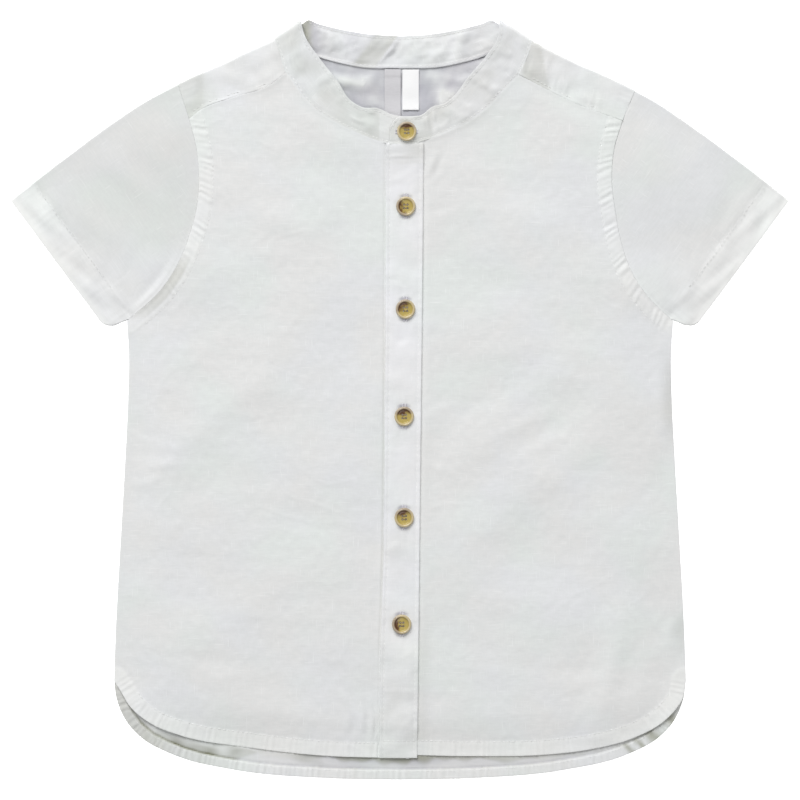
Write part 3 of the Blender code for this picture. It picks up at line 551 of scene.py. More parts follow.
def panel(name, outline, topZ, bottomZ, steps, seed, layersAndPaintedShade, finer=None):
    # a level piece of cloth: fine on the side that shows, coarse on the other
    top, topFaces = filled(outline, steps["top"], seed, finer)
    bottom, bottomFaces = filled(outline, steps["bottom"], seed + 1)
    count, r = len(outline), cloth["bevel"]
    inwards = leftOf(unit(np.roll(outline, -1, axis=0) - np.roll(outline, 1, axis=0)))
    topHeight, bottomHeight = topZ(*top.T), bottomZ(*bottom.T)
    upper, lower = lifted(top, topHeight), lifted(bottom, bottomHeight)
    ringHigh, ringLow = lifted(outline, topHeight[:count] - r), lifted(outline, bottomHeight[:count] + r)
    upper[:count, :2] += inwards * r
    lower[:count, :2] += inwards * r
    n, m = len(upper), len(lower)
    i = np.arange(count)
    j = np.roll(i, -1)
    faces = topFaces.tolist() + (bottomFaces[:, ::-1] + n).tolist()
    high, low = n + m, n + m + count
    faces += np.stack([j, i, high + i, high + j], 1).tolist()
    faces += np.stack([high + j, high + i, low + i, low + j], 1).tolist()
    faces += np.stack([low + j, low + i, n + i, n + j], 1).tolist()
    points = np.concatenate([upper, lower, ringHigh, ringLow])
    isTop = np.repeat([True, False, True, False], [n, m, count, count])
    depth, olive = layersAndPaintedShade(points[:, 0], points[:, 1], isTop)
    return addObject(name, points, faces, points[:, :2], whiteLinen, depth, olive)


def closedOutline(parts):
    outline, distances = [], []
    for line, distance in parts:
        outline.extend(line[:-1])
        distances.extend([distance] * (len(line) - 1))
    return np.array(outline), distances


def across(line):
    return lifted(leftOf(unit(np.gradient(np.asarray(line, float)[:, :2], axis=0))), 0.0)


def foldedEdge(centre, bulge, under, over, steps):
    middle, radius = (under + over) / 2, (over - under) / 2
    turned = np.linspace(-math.pi / 2, math.pi / 2, steps + 1)[1:-1]
    return [(*(centre + radius * math.cos(a) * bulge), middle + radius * math.sin(a)) for a in turned]


def fromTip(line, half, under, over):
    # a line that starts where its fold's centre is, with as many points as before
    way = (line[1] - line[0]) / np.linalg.norm(line[1] - line[0])
    move = (over - under) / 2 + half
    rest = line[lengths(line) > move + 0.2]
    return even(np.concatenate([[line[0] + way * move], rest]), len(line) - 1), -way


# materials
def linear(hexValue):
    # sRGB hex to linear colour
    parts = [int(hexValue[k : k + 2], 16) / 255 for k in (1, 3, 5)]
    return [*((p / 12.92 if p <= 0.04045 else ((p + 0.055) / 1.055) ** 2.4) for p in parts), 1]


def addNode(tree, kind, inputs=(), **settings):
    made = tree.nodes.new(kind)
    for name, value in settings.items():
        setattr(made, name, value)
    for socket, value in dict(inputs).items():
        if isinstance(value, bpy.types.NodeSocket):
            tree.links.new(value, made.inputs[socket])
        else:
            made.inputs[socket].default_value = value
    return made


def newMaterial(name):
    material = bpy.data.materials.new(name)
    material.use_nodes = True
    return material, material.node_tree, material.node_tree.nodes["Principled BSDF"]


linen = {
    "light": "#E8E9EC",
    "green": "#E6EBE8",
    "pink": "#EAE9E8",
    "shade": "#DBDDDD",
    "slub": "#F4F5F5",
    "doubled": ("#F4F4FA", "#F7F8F3"),  # lilac, olive
    "shaded": ("#DCDBE0", "#DADAD3"),  # what the shade leaves of its colour
    "slubWide": 1.35,  # mm; a thread is about 0.5 mm and too fine to show, so it is drawn coarser
    "slubLong": 4.6,
    "slubShare": 0.40,
    "bump": 0.00010,
}


def makeLinen():
    # washed plain-weave linen: matt, with uneven slubs in warp and weft
    material, tree, shader = newMaterial("washedWhiteLinen")
    grain = addNode(tree, "ShaderNodeUVMap", uv_map="grain").outputs["UV"]
    slubs = []
    along, across = 1 / linen["slubLong"], 1 / linen["slubWide"]
    for wide, long in ((along, across), (across, along)):
        place = addNode(tree, "ShaderNodeMapping", {"Vector": grain, "Scale": (wide, long, 1)})
        noise = addNode(tree, "ShaderNodeTexNoise", {
            "Vector": place.outputs[0], "Scale": 1.0, "Detail": 3.0, "Roughness": 0.55,
        })
        slubs.append(noise.outputs["Fac"])
    # the weft's slubs show most
    both = addNode(tree, "ShaderNodeMath", {0: slubs[1], 1: 0.5, 2: slubs[0]}, operation="MULTIPLY_ADD")
    tone = addNode(tree, "ShaderNodeMapRange", {
        "Value": both.outputs[0], "From Min": 0.0, "From Max": 1.3,
    })
    lightTone = addNode(tree, "ShaderNodeRGB")
    lightTone.outputs[0].default_value = linear(linen["light"])
    # the white is uneven from washing: a little greener here, a little pinker there
    for hue, wide, place in (("green", 0.017, 3.0), ("pink", 0.022, 11.0)):
        spread = addNode(tree, "ShaderNodeMapping", {
            "Vector": grain, "Location": (place, place, 0), "Scale": (wide, wide, 1),
        })
        cloud = addNode(tree, "ShaderNodeTexNoise", {
            "Vector": spread.outputs[0], "Scale": 1.0, "Detail": 3.0,
        })
        share = addNode(tree, "ShaderNodeMapRange", {
            "Value": cloud.outputs["Fac"], "From Min": 0.42, "From Max": 0.6,
        })
        last = lightTone.outputs[0] if hue == "green" else lightTone.outputs[2]
        lightTone = addNode(tree, "ShaderNodeMix", {
            "Factor": share.outputs[0], 6: last, 7: linear(linen[hue]),
        }, data_type="RGBA")
    colour = addNode(tree, "ShaderNodeMix", {
        "Factor": tone.outputs[0], 6: linear(linen["shade"]), 7: lightTone.outputs[2],
    }, data_type="RGBA")
    # here and there a thicker thread
    thick = colour.outputs[2]
    for wide, long in ((0.085, 1.5), (1.5, 0.11)):
        place = addNode(tree, "ShaderNodeMapping", {
            "Vector": grain, "Location": (7, 5, 0), "Scale": (wide, long, 1),
        })
        noise = addNode(tree, "ShaderNodeTexNoise", {"Vector": place.outputs[0], "Scale": 1.0, "Detail": 1.0})
        share = addNode(tree, "ShaderNodeMapRange", {
            "Value": noise.outputs["Fac"], "From Min": 0.66, "From Max": 0.76, "To Max": linen["slubShare"],
        })
        thick = addNode(tree, "ShaderNodeMix", {
            "Factor": share.outputs[0], 6: thick, 7: linear(linen["slub"]),
        }, data_type="RGBA").outputs[2]
    layersAndPaintedShade = addNode(tree, "ShaderNodeAttribute", attribute_name="layersAndPaintedShade").outputs["Fac"]
    olive = addNode(tree, "ShaderNodeAttribute", attribute_name="olive").outputs["Fac"]
    ends = {}
    for kind in ("doubled", "shaded"):
        lilac, yellow = (linear(tint) for tint in linen[kind])
        ends[kind] = addNode(tree, "ShaderNodeMix", {
            "Factor": olive, 6: lilac, 7: yellow,
        }, data_type="RGBA").outputs[2]
    # above zero the attribute whitens doubled cloth; below zero it is painted shade, multiplied into the
    # colour
    doubling = addNode(tree, "ShaderNodeMath", {0: layersAndPaintedShade, 1: 0.0}, operation="MAXIMUM")
    whiter = addNode(tree, "ShaderNodeMix", {
        "Factor": doubling.outputs[0], 6: thick, 7: ends["doubled"],
    }, data_type="RGBA")
    shading = addNode(tree, "ShaderNodeMath", {0: layersAndPaintedShade, 1: 0.0}, operation="MINIMUM")
    shading = addNode(tree, "ShaderNodeMath", {0: shading.outputs[0], 1: -1.0}, operation="MULTIPLY")
    darker = addNode(tree, "ShaderNodeMix", {
        "Factor": shading.outputs[0], 6: whiter.outputs[2], 7: ends["shaded"],
    }, data_type="RGBA", blend_type="MULTIPLY", clamp_factor=False)
    bump = addNode(tree, "ShaderNodeBump", {
        "Height": both.outputs[0], "Strength": 0.38, "Distance": linen["bump"],
    })
    tree.links.new(darker.outputs[2], shader.inputs["Base Color"])
    tree.links.new(bump.outputs[0], shader.inputs["Normal"])
    shader.inputs["Roughness"].default_value = 0.92
    shader.inputs["Specular IOR Level"].default_value = 0.2
    shader.inputs["Sheen Weight"].default_value = 0.08
    return material


whiteLinen = makeLinen()
pieces = {}


def finishPiece(obj, node):
    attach(obj, "root")
    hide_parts(node)
    pieces[node] = obj
    area = sum(face.area for face in obj.data.polygons) / 2 * 1e4
    print("made", obj.name, len(obj.data.polygons), "faces,", round(area, 1), "cm2")
    return obj


stitch = {"pitch": 2.5, "long": 2.0, "thick": 0.30, "sunk": 0.03}  # mm; thread drawn a little thick


def makeThread(name, light, shade):
    # spun polyester sewing thread: soft lustre, twist too fine to show
    material, tree, shader = newMaterial(name)
    place = addNode(tree, "ShaderNodeTexCoord").outputs["Object"]
    noise = addNode(tree, "ShaderNodeTexNoise", {"Vector": place, "Scale": 1500.0, "Detail": 2.0})
    colour = addNode(tree, "ShaderNodeMix", {
        "Factor": noise.outputs["Fac"], 6: linear(light), 7: linear(shade),
    }, data_type="RGBA")
    tree.links.new(colour.outputs[2], shader.inputs["Base Color"])
    shader.inputs["Roughness"].default_value = 0.6
    return material


def makeStitchTree():
    # thread laid at an even pitch along every path of a mesh of edges
    tree = bpy.data.node_groups.new("stitchRun", "GeometryNodeTree")
    tree.interface.new_socket("Paths", in_out="INPUT", socket_type="NodeSocketGeometry")
    for name in ("Pitch", "Long", "Thick", "Turn"):
        tree.interface.new_socket(name, in_out="INPUT", socket_type="NodeSocketFloat")
    tree.interface.new_socket("Thread", in_out="INPUT", socket_type="NodeSocketMaterial")
    tree.interface.new_socket("Stitches", in_out="OUTPUT", socket_type="NodeSocketGeometry")
    given = addNode(tree, "NodeGroupInput").outputs
    curve = addNode(tree, "GeometryNodeMeshToCurve", {"Mesh": given["Paths"]})
    spaced = addNode(tree, "GeometryNodeResampleCurve", {
        "Curve": curve.outputs[0], "Length": given["Pitch"],
    }, mode="LENGTH")
    tangent = addNode(tree, "GeometryNodeInputTangent")
    along = addNode(tree, "FunctionNodeAlignRotationToVector", {"Vector": tangent.outputs[0]}, axis="X")
    thread = addNode(tree, "GeometryNodeMeshUVSphere", {"Segments": 6, "Rings": 4, "Radius": 0.5})
    scale = addNode(tree, "ShaderNodeCombineXYZ", {
        "X": given["Long"], "Y": given["Thick"], "Z": given["Thick"],
    })
    turn = addNode(tree, "ShaderNodeCombineXYZ", {"Z": given["Turn"]})
    shaped = addNode(tree, "GeometryNodeTransform", {
        "Geometry": thread.outputs[0], "Scale": scale.outputs[0],
    })
    turned = addNode(tree, "GeometryNodeTransform", {
        "Geometry": shaped.outputs[0], "Rotation": turn.outputs[0],
    })
    placed = addNode(tree, "GeometryNodeInstanceOnPoints", {
        "Points": spaced.outputs[0], "Instance": turned.outputs[0], "Rotation": along.outputs[0],
    })
    real = addNode(tree, "GeometryNodeRealizeInstances", {"Geometry": placed.outputs[0]})
    smooth = addNode(tree, "GeometryNodeSetShadeSmooth", {"Geometry": real.outputs[0]})
    coloured = addNode(tree, "GeometryNodeSetMaterial", {
        "Geometry": smooth.outputs[0], "Material": given["Thread"],
    })
    addNode(tree, "NodeGroupOutput", {"Stitches": coloured.outputs[0]})
    return tree


whiteThread = makeThread("whitePolyesterThread", "#F6F6F4", "#E4E4E2")
stitchTree = makeStitchTree()
sewing = {}


def onTop(path, height):
    return lifted(path, height(*path.T) + stitch["sunk"])


def sewn(node, paths, pitch=None, long=None, thick=None, turn=0.0, thread=None, name="stitches"):
    # runs of stitches on one piece, as a mesh of their own
    points, edges = [], []
    for path in paths:
        start = len(points)
        points += [tuple(p) for p in np.asarray(path) * mm]
        edges += [(start + k, start + k + 1) for k in range(len(path) - 1)]
    mesh = bpy.data.meshes.new("paths")
    mesh.from_pydata(points, edges, [])
    paths = bpy.data.objects.new("paths", mesh)
    bpy.context.collection.objects.link(paths)
    modifier = paths.modifiers.new("stitches", "NODES")
    modifier.node_group = stitchTree
    wanted = {
        "Pitch": (pitch or stitch["pitch"]) * mm,
        "Long": (long or stitch["long"]) * mm,
        "Thick": (thick or stitch["thick"]) * mm,
        "Turn": turn,
        "Thread": thread or whiteThread,
    }
    for item in stitchTree.interface.items_tree:
        if item.name in wanted and item.in_out == "INPUT":
            modifier[item.identifier] = wanted[item.name]
    graph = bpy.context.evaluated_depsgraph_get()
    made = bpy.data.meshes.new_from_object(paths.evaluated_get(graph))
    bpy.data.objects.remove(paths)
    obj = bpy.data.objects.new(f"{node}_{name}", made)
    bpy.context.collection.objects.link(obj)
    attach(obj, "root")
    sewing.setdefault(node, []).append(obj)
    print("sewed", obj.name, len(made.polygons), "faces")
    return obj


front = {
    "armholeBand": 7.8,  # topstitched beside the armhole seam
    "bandRaise": 0.22,
    "pucker": 0.20,
    "spacing": 3.5,
    "hemPucker": 0.20,
    "hemSpacing": 3.0,
    "hemThick": 0.7,
    "groove": 0.08,
    "seamRidge": 0.20,
    # where the band turns in below the arm, in the shade: its middle's y, half length and depth
    "shaded": {"right": (62.0, 17.0, 0.75), "left": (56.0, 8.0, 0.15)},
    # where the wearer's left side rolls under: each roll's middle y and half length
    "rolls": ((-2.0, 24.0), (-132.0, 12.0)),
    "near": (2.4, 0.55),  # how far from the placket's free edge the mesh is finer, and its step there
}
# creases: the line that each follows, its width, its height
frontCreases = (
    (((20.3, 137.5), (18.0, 130.0), (14.3, 121.0)), 2.2, 0.40),
    (((121.0, -128.0), (116.0, -152.0), (110.0, -176.0)), 5.0, 0.35),
    (((28.6, -22.0), (44.0, -8.0), (66.0, 3.0)), 4.5, 0.26),
    (((44.0, -25.0), (66.0, -14.0), (88.0, -3.0)), 4.0, 0.30),
    (((55.0, -38.5), (71.5, -28.6), (96.0, -16.5)), 4.0, 0.24),
    (((13.8, 96.0), (22.0, 101.0), (33.0, 103.0)), 3.0, 0.22),
    (((13.8, -33.0), (20.0, -38.0), (30.0, -40.0)), 2.6, 0.22),
    (((12.8, -12.0), (19.0, -6.0), (27.0, -4.0)), 2.6, 0.18),
    (((12.8, 46.0), (20.0, 41.0), (31.0, 40.0)), 3.0, 0.18),
    (((-150.0, -17.0), (-140.0, -22.0), (-126.0, -24.0)), 2.6, 0.26),
    (((-150.5, -33.0), (-138.0, -36.0), (-122.0, -35.0)), 2.8, 0.24),
    (((-151.0, -47.0), (-141.0, -46.0), (-129.0, -42.0)), 2.4, 0.20),
    (((147.0, 24.0), (145.0, 0.0), (146.0, -28.0)), 4.5, 0.42),
    (((150.0, -120.0), (148.0, -131.0), (150.0, -142.0)), 4.0, 0.36),
    (((-33.0, -158.0), (-28.0, -172.0), (-30.0, -186.0)), 2.0, 0.38),
    (((-24.0, -156.0), (-20.5, -170.0), (-21.0, -188.0)), 1.8, 0.40),
    (((-17.0, -164.0), (-15.5, -178.0), (-16.0, -192.0)), 1.5, 0.44),
    (((-13.4, -60.0), (-13.0, -120.0), (-14.5, -186.0)), 2.4, -0.22),
    (((-95.0, 112.0), (-70.0, 97.0), (-38.0, 90.0)), 8.0, 0.30),
    (((-104.0, 62.0), (-78.0, 77.0), (-46.0, 82.0)), 7.5, 0.26),
    (((-60.0, 128.0), (-44.0, 112.0), (-36.0, 92.0)), 6.0, 0.22),
    (((-128.0, 20.0), (-98.0, 30.0), (-60.0, 27.0)), 7.0, 0.24),
    (((-120.0, -62.0), (-90.0, -52.0), (-56.0, -54.0)), 7.0, 0.30),
    (((-96.0, -112.0), (-70.0, -121.0), (-34.0, -118.0)), 7.0, 0.28),
    (((-134.0, -142.0), (-102.0, -152.0), (-70.0, -149.0)), 5.5, 0.24),
    (((40.0, 114.0), (70.0, 101.0), (102.0, 94.0)), 8.0, 0.30),
    (((28.0, 62.0), (58.0, 53.0), (96.0, 59.0)), 7.0, 0.26),
    (((34.0, 20.0), (70.0, 29.0), (112.0, 23.0)), 6.0, 0.24),
    (((40.0, -118.0), (70.0, -111.0), (108.0, -117.0)), 7.0, 0.30),
    (((58.0, -150.0), (90.0, -156.0), (124.0, -151.0)), 5.0, 0.24),
    (((110.0, -60.0), (126.0, -78.0), (133.0, -104.0)), 6.0, 0.26),
)


def frontTop(side):
    lines = coarse[side]

    def height(x, y):
        z = upperZ(x, y) + cloth["wall"] / 2 - hemSag(x, y)
        if side == "left":
            z = z + neckRise(x, y)
        armholeDistance, along, _ = nearest(lines["armholeFront"][2:], x, y)
        distance = armholeDistance
        band = bandTo(distance, front["armholeBand"], 0.6, 0.9)
        near = 1 - rise(distance, 4, 16)
        z = z + front["bandRaise"] * band * rise(distance, 0, 3)
        pulled = (0.85 + 0.25 * swell(x, y, 16, 90)) * (0.22 * near + 0.78 * band) * rise(distance, 0, 1.2)
        ribs = ripple(along - 0.4 * distance, front["spacing"], 1 + sign[side])
        ribs = ribs - 0.7 * rise(-ribs, 0.1, 0.9) + 0.4 * ripple(along, 7.4, 2)
        z = z + front["pucker"] * ribs * pulled
        z = z - front["groove"] * hump(distance - front["armholeBand"], 0.7)
        for ridge in (-1.1, 1.2):
            z = z + 0.10 * hump(distance - front["armholeBand"] - ridge, 0.7)
        middle, half, _ = front["shaded"][side]
        turned = hump(y - middle, half, 4)
        z = z - 0.45 * turned * hump(distance - 1.8, 1.5)
        distance, along, _ = nearest(lines["frontHem"], x, y)
        band = bandTo(distance, frontHem, 0.4, 0.9)
        near = 1 - rise(distance, frontHem, frontHem + 7)
        z = z + cloth["hemRaise"] * band
        z = z + front["hemPucker"] * ripple(along, front["hemSpacing"], 4) * (0.3 * near + 0.7 * band)
        z = z - front["groove"] * hump(distance - frontHem, 0.8)
        gutter = placketEdge(y, 1) - 0.6
        z = z - 0.34 * hump(x - gutter, 0.8) * (x < 0)
        edge = distanceTo(joined(lines["neck"][::-1], lines["yoke"]), x, y)
        z = z + front["seamRidge"] * hump(edge, 1.2)
        besidePlacket = x - placketEdge(y, 2)
        z = z - 0.42 * hump(besidePlacket - 0.8, 1.0) * rise(y, -186, -181)
        sideEdge = distanceTo(lines["side"], x, y)
        calm = rise(edge, 0, 8) * rise(sideEdge, 0, 9) * rise(armholeDistance, 0, 9)
        calm = calm * rise(np.abs(x - 2.0), 10, 16)
        z = z + crumple(x, y, 11) * (0.25 + 0.75 * calm) * rise(armholeDistance, 0, 3) * rise(edge, 0, 3)
        z = z + creased(x, y, frontCreases) * rise(armholeDistance, 0, 6)
        if side == "left":
            upperRoll, lowerRoll = (hump(y - middle, half, 4) for middle, half in front["rolls"])
            z = z - 0.9 * (upperRoll + 0.9 * lowerRoll) * (1 - rise(sideEdge, 0.5, 8))
        return z

    return height


def makeFront(side):
    lines = fine[side]
    armhole = lines["armholeFront"][yokeFront:]
    neck, hem = lines["neck"], lines["frontHem"]
    rows = np.linspace(hem[-1][1], neck[-1][1], 260)
    edge = np.column_stack([placketEdge(rows, 2) + frontEdges[side], rows])
    parts = [
        (lines["yoke"][::-1], cloth["gap"] / 2),
        (neck, cloth["gap"] / 2),
        (edge[::-1], 0),
        (hem[::-1], 0),
        (lines["side"][::-1], 0),
        (armhole[::-1], cloth["gap"] / 2),
    ]
    if side == "right":
        parts = [(line[::-1], gap) for line, gap in parts[::-1]]
    outline = inset(*closedOutline(parts))
    top = frontTop(side)

    def bottom(x, y):
        band = 1 - rise(distanceTo(coarse[side]["frontHem"], x, y), frontHem, frontHem + 2)
        return top(x, y) - cloth["thick"] - (front["hemThick"] - cloth["thick"]) * band

    def layersAndPaintedShade(x, y, isTop):
        # painted shade: in the band turned in below the arm, where the left side rolls under, along the
        # placket's free edge on the wearer's right and beside its seam on the left; the bands' doubled cloth
        # is whiter
        armhole = distanceTo(coarse[side]["armholeFront"][2:], x, y)
        hem = distanceTo(coarse[side]["frontHem"], x, y)
        middle, half, shade = front["shaded"][side]
        dark = shade * hump(y - middle, half, 4) * (1 - rise(armhole, 4.6, 6.6))
        if side == "left":
            upperRoll, lowerRoll = (hump(y - middle, half, 4) for middle, half in front["rolls"])
            rolls = upperRoll + 0.8 * lowerRoll
            dark = dark + 0.35 * rolls * (1 - rise(distanceTo(coarse[side]["side"], x, y), 0, 7))
        if side == "right":
            # a painted shadow along the placket's free edge
            placketEdgeShadow = 0.10 + 0.30 * rise(-y, -60, 30) * rise(y, -150, -90)
            dark = dark + placketEdgeShadow * hump(x - placketEdge(y, 1) + 0.95, 0.6)
        else:
            beside = 1 - rise(x - placketEdge(y, 2), 0, 10)
            dark = dark + beside * (0.08 * rise(-y, -20, 40) + 0.22 * rise(-y, 110, 140))
        doubled = 0.18 * bandTo(armhole, front["armholeBand"], 0.6, 0.6)
        doubled = doubled + 0.28 * bandTo(hem, frontHem, 0.6, 0.6)
        return doubled - 0.04 - dark, 1.0

    steps = {"top": cloth["step"], "bottom": cloth["innerStep"]}
    free = np.column_stack([placketEdge(rows, 1) - 1.2, rows])
    finer = (free, *front["near"]) if side == "right" else None
    obj = panel(f"front_{side}_cloth", outline, top, bottom, steps, 5, layersAndPaintedShade, finer)
    hemPath = sideways(hem, -sign[side] * frontHem)[12:-4]
    armholePath = sideways(lines["armholeFront"], -sign[side] * front["armholeBand"])[yokeFront + 3 : -6]
    sewn("front_" + side, [onTop(path, top) for path in (hemPath, armholePath)])
    return finishPiece(obj, "front_" + side)


for side in sign:
    makeFront(side)


back = {
    "facingRaise": 0.40,
    "facingPucker": 0.26,
    "stripLift": 0.30,
    "pleatShadows": ((128.0, 1.5), (134.0, 1.3), (141.0, 2.4), (150.5, 1.8)),  # painted shadows of small pleats in the facing: x and half width
    "near": (22.0, 0.9),  # how far from its hem the mesh inside is finer, and its step there
    "creases": (
        (((-120.0, 96.0), (-80.0, 70.0), (-30.0, 60.0)), 6.0, 0.34),
        (((110.0, 90.0), (74.0, 74.0), (30.0, 78.0)), 6.0, 0.32),
        (((-70.0, 120.0), (-62.0, 84.0), (-66.0, 40.0)), 7.0, 0.30),
        (((64.0, 118.0), (58.0, 70.0), (66.0, 20.0)), 7.0, 0.30),
        (((-130.0, 10.0), (-90.0, -6.0), (-40.0, 0.0)), 6.0, 0.28),
        (((134.0, -10.0), (92.0, -26.0), (46.0, -20.0)), 6.0, 0.30),
        (((-24.0, 20.0), (-8.0, -40.0), (-20.0, -104.0)), 8.0, 0.30),
        (((-136.0, -70.0), (-100.0, -84.0), (-58.0, -76.0)), 6.0, 0.28),
        (((40.0, -70.0), (80.0, -92.0), (128.0, -88.0)), 6.0, 0.28),
        (((-90.0, -140.0), (-50.0, -152.0), (-4.0, -146.0)), 6.0, 0.26),
        (((30.0, -150.0), (74.0, -160.0), (118.0, -152.0)), 6.0, 0.26),
    ),
}


def underLift(x, y, seed):
    # how the layer below lifts off the surface
    clouds = 0.24 + 0.13 * swell(x, y, 46, seed) + 0.075 * swell(x, y, 17, seed + 1)
    return clouds + 0.035 * swell(x, y, 7, seed + 2, 24)


def backTop(x, y):
    # the inside of the back, seen only between the two hems
    distance, along, _ = nearest(wholeHem, x, y)
    band = bandTo(distance, backFacing, 0.5, 0.6)
    z = cloth["underZ"] * 2 + back["facingRaise"] * band
    z = z + back["facingPucker"] * ripple(along, 3.0, 7) * band
    z = z + back["stripLift"] * (1 - rise(distance, 12, 22))
    z = z - 0.45 * hump(distance - backFacing, 0.5)
    return z - 0.1 + 0.10 * swell(x, y, 18, 31)


def backBottom(x, y):
    # the outside of the back: it rests on the surface and lifts a little in its creases
    edge = backYokeY - y
    for side in sign:
        for name in ("side", "backHem", "armholeBack"):
            edge = np.minimum(edge, distanceTo(coarse[side][name], x, y))
    lift = underLift(x, y, 41) + creased(x, y, back["creases"])
    z = np.clip(lift, 0, 0.7) * rise(edge, 0, 9)
    z = z + 0.16 * hump(distanceTo(wholeHem, x, y) - backFacing, 0.7)
    for side in sign:
        z = z + 0.16 * hump(distanceTo(coarse[side]["armholeBack"], x, y) - front["armholeBand"], 0.7)
    return z


def makeBack():
    seam = {side: fine[side]["armholeBack"][yokeBack:] for side in sign}
    top = even(np.array([seam["left"][0], seam["right"][0]]), 170)
    half = cloth["gap"] / 2
    parts = [
        (top, half),
        (seam["right"], half),
        (fine["right"]["side"], 0),
        (fine["right"]["backHem"], 0),
        (fine["left"]["backHem"][::-1], 0),
        (fine["left"]["side"][::-1], 0),
        (seam["left"][::-1], half),
    ]
    outline = inset(*closedOutline(parts))

    def layersAndPaintedShade(x, y, isTop):
        # painted shade inside, between the two hems, deepest at the wearer's right: a fold's shade, a painted
        # shadow under the front's hem, the shadows of small pleats in the facing and a line along the
        # facing's edge
        distance = distanceTo(wholeHem, x, y)
        slant = -x + 2.2 * (distance - backFacing)
        pleatShade = rise(slant, 88, 93)
        deep = -0.44 + 0.15 * rise(x, 36, 60) - (0.66 + 0.2 * swell(x, y, 11, 62)) * pleatShade
        deep = deep - 0.16 * np.sin(x / 9.0 + 2 * np.sin(x / 23.0))
        deep = deep - 0.6 * rise(distance, 6.4, 11) * hump(x - 2, 27, 4) - 0.3 * rise(x, 128, 146)
        under = hump(distanceTo(wholeFrontHem, x, y), 2.9 + 1.1 * swell(x, y, 14, 61), 4)
        deep = deep + (0.7 * pleatShade - 0.7 * rise(x, -72, -50) * (1 - 0.7 * rise(x, 50, 80))) * under
        facing = -0.03 - 0.30 * rise(-x, 88, 112) - 0.40 * rise(-x, 116, 144) - 0.2 * rise(x, 120, 140)
        facing = facing - 0.11 * ripple(x, 4.4, 7)
        for middle, wide in back["pleatShadows"]:
            facing = facing - 1.2 * hump(x + 0.8 * distance - middle, wide)
        within = bandTo(distance, backFacing, 0.5, 0.5)
        shown = facing * within + deep * (1 - within)
        # a painted shadow along the facing's free edge
        shown = shown - (0.4 + 0.9 * pleatShade) * hump(distance - backFacing - 0.3, 0.6)
        olive = np.where(isTop & (distance > backFacing), np.maximum(0.75 * pleatShade, 0.8 * under), 1.0)
        return np.where(isTop, shown * rise(-y, 136, 144), 0.2 * within - 0.04), olive

    steps = {"top": cloth["innerStep"], "bottom": cloth["backStep"]}
    obj = panel("back_panel_cloth", outline, backTop, backBottom, steps, 9, layersAndPaintedShade, (wholeHem, *back["near"]))
    hem = sideways(joined(fine["right"]["backHem"], fine["left"]["backHem"][::-1]), backFacing)[8:-8]
    paths = [
        sideways(fine[side]["armholeBack"], -sign[side] * front["armholeBand"])[yokeBack + 8 : -8]
        for side in sign
    ]
    paths = [lifted(path, 0.15) for path in [*paths, hem]]
    inner = sideways(hem, -1.1)
    inner = lifted(inner, backTop(*inner.T))
    sewn("back_panel", paths)
    sewn("back_panel", [inner], thick=0.16, name="inner_stitches")
    return finishPiece(obj, "back_panel")


makeBack()

yoke = {
    "foldSteps": 9, "low": -0.2, "high": 0.5, "pucker": 0.26,
    # patches of painted shade inside the neck: x, y, half width, half length, depth
    "dim": (
        (15.0, 171.0, 4.5, 12.0, 0.45),
        (-13.5, 174.0, 4.0, 9.0, 0.30),
        (-24.0, 161.0, 4.0, 8.0, 0.35),
        (32.0, 178.0, 5.0, 5.0, 0.3),
    ),
}

yokeFolds = (
    (((-44.0, 180.0), (-30.0, 176.0), (-10.0, 178.0)), 2.6, 0.7),
    (((-40.0, 172.0), (-28.0, 168.5), (-14.0, 169.0)), 3.2, -0.9),
    (((-36.0, 166.0), (-28.0, 160.0), (-20.0, 153.0)), 3.0, 0.8),
    (((-24.0, 165.0), (-20.0, 157.0), (-18.0, 149.0)), 2.2, 0.6),
    (((14.0, 181.0), (19.0, 170.0), (20.0, 157.0)), 3.0, -0.9),
    (((48.0, 184.0), (36.0, 180.0), (22.0, 181.5)), 2.4, -0.8),
    (((40.0, 172.0), (31.0, 168.0), (23.0, 161.0)), 4.5, 0.8),
)

yokeCreases = (
    (((82.5, 190.0), (80.5, 181.0), (79.0, 173.5)), 1.3, 0.40),
    (((-74.0, 190.0), (-70.0, 182.0), (-70.5, 175.5)), 1.6, 0.30),
    (((98.0, 184.0), (94.0, 176.0), (96.0, 167.0)), 2.2, 0.26),
    (((-96.0, 182.0), (-92.0, 174.0), (-95.0, 168.0)), 2.0, 0.26),
)


